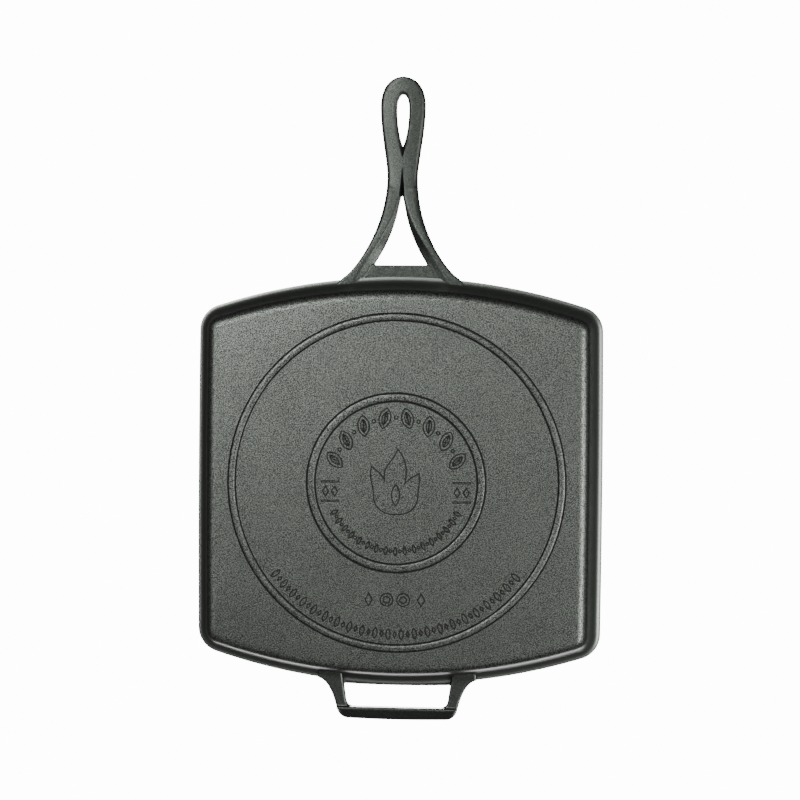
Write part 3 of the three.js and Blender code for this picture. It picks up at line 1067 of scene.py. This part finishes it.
    def strut(self, side: int) -> bpy.types.Object:
        """One strut of the fork, chamfered underneath along its inner edge.

        Args:
            side: 1 for the strut on +X, -1 for the other.

        Returns:
            The strut as a closed solid.
        """
        sections = []
        for y in spaced(self.root - self.buried, self.fork + self.overlap, self.strut_steps):
            inner = max(self.gap_at(y), self.slit) if y < self.fork - self.slit_end else -self.past_middle
            outer, depth, middle = self.half(y), self.depth(y), self.height(y)
            low, high = middle - depth / 2, middle + depth / 2
            edge = min(self.edge, depth / 3)
            narrowed = ease(y, self.web_end, self.root + self.chamfer_length)
            wide = mix(self.chamfer_wide, self.chamfer_narrow, narrowed)
            section = [
                (inner, low + min(wide * self.chamfer_slope, depth * self.chamfer_limit)),
                (inner + wide, low),
                *quarter(outer - edge, low + edge, edge, -90, 0),
                *quarter(outer - edge, high - edge, edge, 0, 90),
                (inner + edge / 2, high),
                (inner, high - edge / 2),
            ]
            sections.append([Vector((side * x, y, z)) for x, z in section])
        return sweep(f"strut_{side}", sections)

    def palm(self) -> bpy.types.Object:
        """Models the neck and the loop in one, round in plan at the tip.

        Returns:
            The solid, without its hanging hole.
        """
        sections = [
            self.bar(y, self.half(y), self.thickness, self.edge)
            for y in spaced(self.fork - self.proud, self.widest, self.palm_steps)
        ]
        for share in spaced(0, self.nose_share, self.nose_steps)[1:]:
            point = bezier(self.nose, share)
            sections.append(self.bar(point.y, point.x, self.thickness, self.edge))
        return sweep("palm", sections)

    def web(self) -> bpy.types.Object:
        """Models the flat web between the struts' feet.

        Returns:
            The web.
        """
        top = AT.rim_top - self.web_drop
        low = top - self.web_thickness
        sections = []
        for y in spaced(self.root - self.buried, self.web_end, self.web_steps):
            half = self.gap_at(y) + self.web_overlap
            corners = [(-half, low), (half, low), (half, top), (-half, top)]
            sections.append([Vector((x, y, z)) for x, z in corners])
        return sweep("web", sections)

    def hole(self) -> bpy.types.Object:
        """Models the teardrop hanging hole as a solid with a round flare at each face.

        Returns:
            The cutter.
        """
        up, inward = self.hole_top_pulls
        high = [
            (self.hole_half, self.hole_widest), (self.hole_half, mix(self.hole_widest, self.hole_top, up)),
            (inward * self.hole_half, self.hole_top), (0.0, self.hole_top),
        ]
        out, first, second = self.hole_low_pulls
        low = [
            (0.0, self.hole_low),
            (out * self.hole_half, mix(self.hole_low, self.hole_widest, first)),
            (self.hole_half, mix(self.hole_low, self.hole_widest, second)),
            (self.hole_half, self.hole_widest),
        ]
        right = [bezier(low, share) for share in spaced(0, 1, self.hole_low_steps)]
        right += [bezier(high, share) for share in spaced(0, 1, self.hole_top_steps)[1:]]
        outline = right + [Vector((-point.x, point.y, 0)) for point in right[-2:0:-1]]
        count = len(outline)
        away = []
        for i in range(count):
            along = (outline[(i + 1) % count] - outline[i - 1]).normalized()
            away.append(Vector((along.y, -along.x, 0)))
        half = self.thickness / 2
        sections = []
        for turn in spaced(90, 0, self.flare_steps):
            flare = self.hole_edge * (1 - math.cos(math.radians(turn)))
            rise = half - self.hole_edge * (1 - math.sin(math.radians(turn)))
            sections.append((-rise - (self.proud if turn == 90 else 0), flare))
        levels = sections + [(-rise, flare) for rise, flare in reversed(sections)]
        return sweep("hole", [
            [
                point + outward * flare + UP * (self.middle + rise)
                for point, outward in zip(outline, away, strict=True)
            ]
            for rise, flare in levels
        ])

    def wedge(
        self, side: int, start: float, end: float, wide: tuple[float, float], deep: tuple[float, float]
    ) -> bpy.types.Object:
        """A V-shaped cutter that runs along the middle of one face.

        Args:
            side: 1 for the upper face, -1 for the lower one.
            start: Where it starts in Y.
            end: Where it ends in Y.
            wide: Its half-width at each end.
            deep: Its depth at each end.

        Returns:
            The cutter.
        """
        sections = []
        for share in spaced(0, 1, self.wedge_steps):
            y = mix(start, end, share)
            half, depth = mix(*wide, share), mix(*deep, share)
            face = self.height(y) + side * self.depth(y) / 2
            clear = face + side * self.proud
            corners = [(-half, clear), (-half, face), (0, face - side * depth), (half, face), (half, clear)]
            sections.append([Vector((x, y, z)) for x, z in corners])
        return sweep("wedge", sections)

    def build(self, pan: Pan, iron: bpy.types.Material) -> bpy.types.Object:
        """Models and dresses the handle.

        Args:
            pan: The pan that it is cast onto.
            iron: Its finish, the pan's iron with darker colours that are painted shade.

        Returns:
            The finished piece.
        """
        piece = join("long_handle", [self.palm(), self.strut(1), self.strut(-1), self.web()])
        blend(piece, self.fineness)
        carve(piece, self.hole())
        notch = (self.hole_low - self.notch_length, self.hole_low + self.notch_into)
        groove = (self.fork - self.groove_start, self.fork + self.groove_end)
        for side in (1, -1):
            carve(piece, self.wedge(side, *notch, self.notch_wide, self.notch_deep))
            carve(piece, self.wedge(side, *groove, self.groove_wide, self.groove_deep))
        carve(piece, pan.well())
        close_mesh(piece, FINE_MERGE)
        shade(piece, self.crease_angle)
        dress(piece, iron)
        hand_over(
            piece, Slot.SAND_CAST,
            "handle_root_web", "handle_left_strut", "handle_right_strut", "handle_neck", "handle_loop",
        )
        return piece


# ---------------------------------------------------------------- the helper handle


@dataclass
class HelperHandle:
    """The helper handle: two legs that flare into the wall, a thicker grip and a ledge under the rim."""

    foot_half: float = 60 * MM
    opening_half: float = 40.2 * MM
    taper: float = 2.6 * MM
    opening_corner: float = 4.5 * MM
    leg: float = 6 * MM
    leg_round: float = 1.6 * MM
    grip_width: float = 9.9 * MM
    grip_corner: float = 8.5 * MM
    grip_crown: float = 1 * MM
    grip_round: float = 1.5 * MM
    grip_outer: float = 4.5 * MM
    ledge_reach: float = 1.5 * MM
    ledge_crown: float = 1 * MM
    ledge: float = 1.7 * MM
    ledge_round: float = 0.7 * MM
    ledge_overlap: float = 1 * MM
    buried: float = 9 * MM
    leg_overlap: float = 2 * MM
    leg_pulls: tuple[tuple[float, float], tuple[float, float]] = ((0.41, 0.5), (0.16, 0.36))
    leg_steps: tuple[int, int] = (26, 12)
    grip_spare: float = 0.17 * MM
    grip_slope: float = 300
    grip_steps: tuple[int, int] = (12, 20)
    ledge_steps: int = 24
    crease_angle: float = 30
    fineness: float = 0.5 * MM

    def __post_init__(self) -> None:
        """Works out the places and curves that the sections follow."""
        self.rim = AT.half_length
        self.reach = AT.helper_tip - self.rim
        self.inner = AT.helper_tip - self.grip_width
        self.foot = self.rim - (Pan.end_arc - math.sqrt(Pan.end_arc**2 - self.foot_half**2))
        half = AT.helper_half_width + self.grip_spare
        self.grip_half = half
        near, far = self.leg_pulls
        self.outer = [
            (self.foot_half, self.foot),
            (mix(half, self.foot_half, near[0]), mix(self.foot, self.rim, near[1])),
            (mix(half, self.foot_half, far[0]), self.rim + far[1] * self.reach),
            (half, AT.helper_tip - self.grip_corner),
        ]

    def opening(self, out: float) -> float:
        """Finds half the opening's width, which has round corners at the grip.

        Args:
            out: How far out from the pan's middle to measure it.

        Returns:
            Half the width.
        """
        share = (out - self.rim) / (self.inner - self.rim)
        into = min(max(out - (self.inner - self.opening_corner), 0), self.opening_corner)
        round_off = self.opening_corner - math.sqrt(self.opening_corner**2 - into**2)
        return self.opening_half - self.taper * share - round_off

    def box(self, left: float, right: float, low: float, high: float, edge: float) -> Profile:
        """Draws a rounded rectangle.

        Args:
            left: Its least place across.
            right: Its greatest place across.
            low: Its least height.
            high: Its greatest height.
            edge: The radius of its corners.

        Returns:
            Its outline.
        """
        corners = (
            (left + edge, low + edge, 180), (right - edge, low + edge, 270),
            (right - edge, high - edge, 0), (left + edge, high - edge, 90),
        )
        return [point for x, z, turn in corners for point in quarter(x, z, edge, turn, turn + 90, 3)]

    def leg_solid(self, side: int) -> bpy.types.Object:
        """Models one leg.

        Args:
            side: 1 for the leg on +X, -1 for the other.

        Returns:
            The leg.
        """
        low, high = AT.helper_top - self.leg, AT.helper_top
        start = self.inner - self.opening_corner
        places = spaced(self.rim - self.buried, start, self.leg_steps[0])[:-1]
        places += spaced(start, self.inner + self.leg_overlap, self.leg_steps[1])
        sections = []
        for out in places:
            outer = self.foot_half if out < self.foot else across(self.outer, out)
            section = self.box(self.opening(out), outer, low, high, self.leg_round)
            sections.append([Vector((side * x, -out, z)) for x, z in section])
        return sweep(f"leg_{side}", sections)

    def grip_line(self, x: float) -> float:
        """Finds how far out the grip's outer edge is.

        Args:
            x: Where to measure it.

        Returns:
            Its distance from the pan's middle.
        """
        crown = self.grip_crown * (x / self.grip_half) ** 2
        corner = min(max(abs(x) - (self.grip_half - self.grip_corner), 0), self.grip_corner)
        return AT.helper_tip - crown - (self.grip_corner - math.sqrt(self.grip_corner**2 - corner**2))

    def grip_solid(self) -> bpy.types.Object:
        """Models the grip bar, thick at its inner edge and thin at its outer edge.

        Returns:
            The bar.
        """
        low, high, edge = AT.helper_low, AT.helper_top, self.grip_round
        start, end = self.grip_half - self.grip_corner, AT.helper_half_width
        ends, middle = self.grip_steps
        places = spaced(-end, -start, ends)[:-1] + spaced(-start, start, middle)[:-1]
        places += spaced(start, end, ends)
        sections = []
        for x in places:
            outer = self.grip_line(x)
            section = [
                *quarter(self.inner + edge, low + edge, edge, 180, 270),
                *quarter(outer - edge, high - self.grip_outer + edge, edge, self.grip_slope, 360),
                *quarter(outer - edge, high - edge, edge, 0, 90),
                *quarter(self.inner + edge, high - edge, edge, 90, 180),
            ]
            sections.append([Vector((x, -out, z)) for out, z in section])
        return sweep("grip", sections)

    def ledge_solid(self) -> bpy.types.Object:
        """Models the ledge that closes the opening on the pan's side.

        Returns:
            The ledge.
        """
        half = self.opening(self.rim) + self.ledge_overlap
        high = AT.helper_top
        sections = []
        for x in spaced(-half, half, self.ledge_steps):
            outer = self.rim + self.ledge_reach - self.ledge_crown * (x / half) ** 2
            section = self.box(self.rim - self.buried, outer, high - self.ledge, high, self.ledge_round)
            sections.append([Vector((x, -out, z)) for out, z in section])
        return sweep("ledge", sections)

    def build(self, pan: Pan, iron: bpy.types.Material) -> bpy.types.Object:
        """Models and dresses the helper handle.

        Args:
            pan: The pan that it is cast onto.
            iron: Its finish, with weaker grit and darker colours; the darker colours are painted shade.

        Returns:
            The finished piece.
        """
        solids = [self.grip_solid(), self.leg_solid(1), self.leg_solid(-1), self.ledge_solid()]
        piece = join("helper_handle", solids)
        blend(piece, self.fineness)
        carve(piece, pan.well())
        close_mesh(piece, FINE_MERGE)
        shade(piece, self.crease_angle)
        dress(piece, iron)
        hand_over(piece, Slot.SMOOTH, "helper_ledge", "helper_left_leg", "helper_right_leg", "helper_grip")
        return piece


# ---------------------------------------------------------------- relief on the underside


@dataclass
class Relief:
    """Low ornament cast on the underside: a flame, leaves, lozenges and bars. None of it is lettering."""

    rise: float = 0.6 * MM
    slope: float = 0.95 * MM
    sink: float = 0.8
    buried: float = 0.15 * MM
    border: float = 1.3 * MM
    flatness: float = 0.95
    arc_steps: int = 10
    disc_steps: int = 20
    heart_drop: float = 9 * MM
    leaf_ring: float = 48.6 * MM
    leaf_tilt: float = 24
    panel_out: float = 49 * MM
    panel_gem_apart: float = 3.4 * MM
    panel_gem_y: float = -6.7 * MM
    panel_rules: tuple[float, float] = (0.5 * MM, -13.8 * MM)
    foot_ring: float = 50.8 * MM
    outer_ring: float = 112.6 * MM
    boss_out: float = 6.2 * MM
    boss_gem_out: float = 19.5 * MM
    boss_y: float = -86.8 * MM

    def raise_face(self, piece: bpy.types.Object, hollow: float = 0.0) -> bpy.types.Object:
        """Raises the selected face of an outline, with sloping sides, and may sink its middle again.

        Args:
            piece: The outline, open in edit mode.
            hollow: How wide the raised border is, or 0 for a flat top.

        Returns:
            The motif.
        """
        bpy.ops.mesh.extrude_region_move(TRANSFORM_OT_translate={"value": -self.buried * UP})
        bpy.ops.mesh.inset(thickness=self.slope, depth=self.rise)
        if hollow:
            bpy.ops.mesh.inset(thickness=hollow, depth=0)
            bpy.ops.mesh.inset(thickness=self.slope, depth=-self.sink * self.rise)
        stop_editing()
        close_mesh(piece)
        return piece

    def level(self) -> float:
        """The height that outlines are drawn at, just inside the pan's underside."""
        return AT.underside + self.buried

    def leaf(self, length: float, width: float, hollow: float = 0.0) -> bpy.types.Object:
        """Draws a pointed leaf along Y with two arcs.

        Args:
            length: Its length.
            width: Its width.
            hollow: How wide its raised border is, or 0 for a flat top.

        Returns:
            The motif.
        """
        bulge = width / 2
        radius = (length**2 / 4 + bulge**2) / (2 * bulge)
        turn = 2 * math.asin(length / 2 / radius)
        drawing = Drawing("leaf", Vector((0, -length / 2, self.level())))
        drawing.arc(Vector((bulge - radius, 0, self.level())), turn, self.arc_steps)
        drawing.arc(Vector((radius - bulge, 0, self.level())), turn, self.arc_steps)
        return self.raise_face(drawing.fill(-1), hollow)

    def lozenge(self, length: float, width: float) -> bpy.types.Object:
        """Draws a lozenge along Y.

        Args:
            length: Its length.
            width: Its width.

        Returns:
            The motif.
        """
        drawing = Drawing("lozenge", Vector((0, -length / 2, self.level())))
        for x, y in ((1, 1), (-1, 1), (-1, -1), (1, -1)):
            drawing.line(Vector((x * width / 2, y * length / 2, 0)))
        return self.raise_face(drawing.fill(-1))

    def bar(self, length: float, width: float) -> bpy.types.Object:
        """Draws a straight bar along Y.

        Args:
            length: Its length.
            width: Its width.

        Returns:
            The motif.
        """
        drawing = Drawing("bar", Vector((-width / 2, -length / 2, self.level())))
        for x, y in ((width, 0), (0, length), (-width, 0)):
            drawing.line(Vector((x, y, 0)))
        return self.raise_face(drawing.fill(-1))

    def disc(self, radius: float, hollow: float = 0.0) -> bpy.types.Object:
        """Draws a round boss.

        Args:
            radius: Its radius.
            hollow: How wide its raised border is, or 0 for a flat top.

        Returns:
            The motif.
        """
        drawing = Drawing("disc", Vector((radius, 0, self.level())))
        drawing.arc(Vector((0, 0, self.level())), 2 * math.pi, self.disc_steps)
        return self.raise_face(drawing.fill(-1), hollow)

    def flame(self, size: float) -> bpy.types.Object:
        """Draws a plain flame with three tongues, as cubic curves through every third knot.

        Args:
            size: Its height.

        Returns:
            The motif.
        """
        knots = [
            (0, -0.5), (0.20, -0.5), (0.34, -0.40), (0.34, -0.20),
            (0.34, -0.06), (0.42, 0.04), (0.37, 0.24),
            (0.30, 0.18), (0.22, 0.14), (0.18, 0.06),
            (0.20, 0.26), (0.02, 0.32), (-0.02, 0.5),
            (-0.15, 0.38), (-0.19, 0.18), (-0.15, 0.0),
            (-0.20, 0.06), (-0.29, 0.10), (-0.35, 0.14),
            (-0.38, -0.02), (-0.34, -0.08), (-0.34, -0.20),
            (-0.34, -0.40), (-0.20, -0.5), (0, -0.5),
        ]
        points = []
        for i in range(0, len(knots) - 1, 3):
            points += [bezier(knots[i : i + 4], share) for share in spaced(0, 1, self.arc_steps)[:-1]]
        piece = new_piece("flame", [point * size + UP * self.level() for point in points[::-1]], face=True)
        start_editing()
        return self.raise_face(piece)

    def turned(self, angle: float) -> Matrix:
        """A turn about Z by an angle in degrees."""
        return Matrix.Rotation(math.radians(angle), 4, "Z")

    def stamp(self, motif: bpy.types.Object, place: Matrix) -> bpy.types.Object:
        """Copies a motif, with a mesh of its own.

        Args:
            motif: What to copy.
            place: Where the copy goes.

        Returns:
            The copy.
        """
        copy = motif.copy()
        copy.data = motif.data.copy()
        bpy.context.scene.collection.objects.link(copy)
        copy.data.transform(place)
        return copy

    def put(self, motif: bpy.types.Object, x: float, y: float, turn: float = 0.0) -> bpy.types.Object:
        """A copy of a motif at a place, turned by an angle in degrees."""
        return self.stamp(motif, Matrix.Translation((x, y, 0)) @ self.turned(turn))

    def copy_to(
        self, motif: bpy.types.Object, radius: float, angle: float, tilt: float = 0.0
    ) -> bpy.types.Object:
        """Copies a motif to an angle round the pan's middle, with its top outwards.

        Args:
            motif: What to copy.
            radius: How far out the copy's middle is.
            angle: Where it is, in degrees anticlockwise from +Y, seen from above.
            tilt: How far it is turned on its own middle, in degrees.

        Returns:
            The copy.
        """
        place = self.turned(angle) @ Matrix.Translation((0, radius, 0)) @ self.turned(tilt)
        return self.stamp(motif, place)

    def finish(
        self, name: str, copies: list[bpy.types.Object], motifs: list[bpy.types.Object],
        iron: bpy.types.Material, crease: bpy.types.Material,
    ) -> None:
        """Joins copies into one piece of relief, dresses it with painted shade on its sloping sides and
        throws the motifs away.

        Args:
            name: The piece's name.
            copies: What to join.
            motifs: What they were copied from.
            iron: The finish of the casting.
            crease: The painted shade on its sloping sides.
        """
        piece = join(name, copies)
        for motif in motifs:
            bpy.data.objects.remove(motif)
        dress(piece, iron, crease)
        # Painted shade: every face that slopes more than the flatness limit takes the near-black material.
        paint_shade_where(piece, lambda face: abs(face.normal.z) < self.flatness)
        hand_over(piece, Slot.SAND_CAST)

    def build(self, iron: bpy.types.Material, crease: bpy.types.Material) -> None:
        """Models and dresses all the relief.

        Args:
            iron: The finish of the casting.
            crease: The painted shade for its sloping sides.
        """
        flame, heart = self.flame(50 * MM), self.leaf(17 * MM, 7 * MM)
        self.finish("flame_emblem", [self.put(flame, 0, 1 * MM)], [flame], iron, crease)
        heart.data.transform(Matrix.Translation(-self.rise * UP))
        self.finish("flame_heart", [self.put(heart, 0, -self.heart_drop)], [heart], iron, crease)

        leaf, stem = self.leaf(16.5 * MM, 9.5 * MM, self.border), self.disc(1.7 * MM)
        copies = [
            self.copy_to(leaf, self.leaf_ring, angle, self.leaf_tilt if angle < 0 else -self.leaf_tilt)
            for angle in range(-70, 71, 20)
        ]
        copies += [self.copy_to(stem, self.leaf_ring, angle) for angle in range(-60, 61, 20)]
        self.finish("leaf_band", copies, [leaf, stem], iron, crease)

        rule, gem = self.bar(14 * MM, 1.6 * MM), self.lozenge(9 * MM, 5.6 * MM)
        copies = []
        for side in (1, -1):
            copies += [self.put(rule, side * self.panel_out, y, 90) for y in self.panel_rules]
            for apart in (-self.panel_gem_apart, self.panel_gem_apart):
                copies.append(self.put(gem, side * (self.panel_out + apart), self.panel_gem_y))
        self.finish("side_panels", copies, [rule, gem], iron, crease)

        grain, dot = self.leaf(7.4 * MM, 3.4 * MM), self.disc(1.5 * MM)
        copies = [self.copy_to(grain, self.foot_ring, 180 + angle) for angle in range(-64, 65, 8)]
        copies += [self.copy_to(dot, self.foot_ring, 180 + angle) for angle in range(-60, 61, 8)]
        self.finish("medallion_foot_band", copies, [grain, dot], iron, crease)

        blade, bead = self.leaf(9.2 * MM, 4.2 * MM), self.lozenge(6 * MM, 3.6 * MM)
        copies = [self.copy_to(blade, self.outer_ring, 180 + angle / 2) for angle in range(-105, 106, 10)]
        copies += [self.copy_to(bead, self.outer_ring, 180 + angle / 2) for angle in range(-100, 101, 10)]
        self.finish("outer_leaf_band", copies, [blade, bead], iron, crease)

        boss, gem = self.disc(5.2 * MM, self.border), self.lozenge(11 * MM, 6.5 * MM)
        copies = [self.put(boss, side * self.boss_out, self.boss_y) for side in (1, -1)]
        copies += [self.put(gem, side * self.boss_gem_out, self.boss_y) for side in (1, -1)]
        self.finish("boss_row", copies, [boss, gem], iron, crease)


# ---------------------------------------------------------------- the studio


@dataclass(frozen=True)
class Lamp:
    """A soft box."""

    name: str
    place: tuple[float, float, float]
    size: tuple[float, float]
    power: float

    def build(self) -> None:
        """Hangs the soft box with its face towards the skillet."""
        light = bpy.data.lights.new(self.name, "AREA")
        light.shape = "RECTANGLE"
        light.size, light.size_y = self.size
        light.energy = self.power
        lamp = bpy.data.objects.new(self.name, light)
        lamp.location = self.place
        lamp.rotation_euler = (-Vector(self.place)).to_track_quat("-Z", "Y").to_euler()
        lamp.visible_camera = False
        bpy.context.scene.collection.objects.link(lamp)


@dataclass
class Studio:
    """Soft light, a pale floor and the camera, which looks up at the skillet's underside."""

    lens: float = 100
    sensor: float = 36
    distance: float = 1.6705
    aim: tuple[float, float, float] = (-0.0002, -0.0011, 0.0277)
    tilt: tuple[float, float, float] = (1.578, 5.28, -0.463)
    room_light: float = 0.04
    near_light: float = 0.25
    near_side: tuple[float, float] = (-0.1, -0.6)
    backdrop_light: float = 14
    floor_size: float = 8
    floor_tint: str = "#e8e8e6"
    lamps: tuple[Lamp, ...] = (
        Lamp("key_box", (0.6, 0.54, -1.25), (0.3, 0.3), 34),
        Lamp("handle_box", (0.0, 0.68, -1.56), (0.6, 0.3), 4),
        Lamp("right_box", (-0.55, 0.0, -1.58), (0.36, 0.7), 7),
        Lamp("handle_strip", (0.1, 1.2, -1.25), (2.0, 0.3), 12),
        Lamp("left_strip", (1.25, 0.1, -1.2), (1.4, 0.3), 12),
        Lamp("helper_strip", (0.0, -1.2, -1.25), (1.8, 0.3), 7),
        Lamp("right_strip", (-1.2, -0.3, -1.1), (1.1, 0.3), 54),
        Lamp("right_edge_strip", (-1.47, 0.0, -0.85), (1.4, 0.25), 16),
        Lamp("top_box", (0.0, 0.0, 2.2), (1.2, 1.2), 150),
        Lamp("top_near_box", (0.0, -1.3, 1.4), (1.6, 0.8), 22),
    )

    def camera(self) -> None:
        """Adds the camera."""
        turn = Euler([math.radians(angle) for angle in self.tilt]).to_matrix()
        view = turn @ UP
        data = bpy.data.cameras.new("camera")
        data.lens, data.sensor_width = self.lens, self.sensor
        camera = bpy.data.objects.new("camera", data)
        bpy.context.scene.collection.objects.link(camera)
        facing = (turn @ Matrix.Rotation(math.pi, 3, "Y")).to_4x4()
        camera.matrix_world = Matrix.Translation(Vector(self.aim) - view * self.distance) @ facing
        bpy.context.scene.camera = camera

    def floor(self) -> None:
        """Adds a pale floor that is clear from below, so that it doesn't hide the underside."""
        bpy.ops.object.select_all(action="DESELECT")
        bpy.ops.mesh.primitive_plane_add(size=self.floor_size, location=(0, 0, 0))
        floor = bpy.context.object
        floor.name = "studio_floor"
        material, tree = blank_material("matt_white_floor")
        below = add_node(tree, "NewGeometry").outputs["Backfacing"]
        paint = add_node(tree, "BsdfDiffuse", Color=colour(self.floor_tint)).outputs[0]
        clear = add_node(tree, "BsdfTransparent").outputs[0]
        shown = add_node(tree, "MixShader", in0=below, in1=paint, in2=clear).outputs[0]
        add_node(tree, "OutputMaterial", Surface=shown)
        dress(floor, material)
        floor.visible_diffuse = False
        floor.visible_glossy = False
        floor.visible_transmission = False
        floor.visible_shadow = False

    def world(self) -> None:
        """Fills the room with faint light, stronger at the helper handle's side, and white to the camera."""
        world = bpy.data.worlds.new("studio")
        bpy.context.scene.world = world
        world.use_nodes = True
        tree = world.node_tree
        tree.nodes.clear()
        toward = add_node(tree, "TexCoord").outputs["Generated"]
        along = add_node(tree, "SeparateXYZ", Vector=toward).outputs["Y"]
        level = add_node(
            tree, "MapRange", Value=along, From_Min=self.near_side[0], From_Max=self.near_side[1],
            To_Min=self.room_light, To_Max=self.near_light,
        ).outputs[0]
        room = add_node(tree, "Background", Color=(1, 1, 1, 1), Strength=level).outputs[0]
        white = add_node(tree, "Background", Color=(1, 1, 1, 1), Strength=self.backdrop_light).outputs[0]
        seen = add_node(tree, "LightPath").outputs["Is Camera Ray"]
        both = add_node(tree, "MixShader", in0=seen, in1=room, in2=white).outputs[0]
        add_node(tree, "OutputWorld", Surface=both)

    def build(self) -> None:
        """Sets up the studio."""
        self.camera()
        self.floor()
        self.world()
        for lamp in self.lamps:
            lamp.build()


def main() -> None:
    """Builds the skillet and its studio."""
    logging.basicConfig(level=logging.INFO, format="%(name)s: %(message)s")
    Studio().build()
    pan_iron = SandCastIron("sand_cast_iron", fade=(6.4 * MM, 8.2 * MM)).build()
    # The long handle's iron: the pan's iron with darker colours, which are painted shade.
    handle_iron = SandCastIron("sand_cast_handle_iron", hollow="#202220", crest="#3e423e").build()
    # The helper handle's iron: weaker grit and darker colours; the darker colours are painted shade.
    helper_iron_painted_shade = SandCastIron("smooth_iron", grain_strength=0.12, hollow="#252725", crest="#4a4e4a").build()
    # Painted shade for the creases beside the beads and for the relief's sloping sides.
    crease = PaintedCreaseShade().build()
    pan = Pan()
    pan.build(pan_iron, crease)
    Relief().build(pan_iron, crease)
    LongHandle().build(pan, handle_iron)
    HelperHandle().build(pan, helper_iron_painted_shade)


if __name__ == "__main__":
    main()
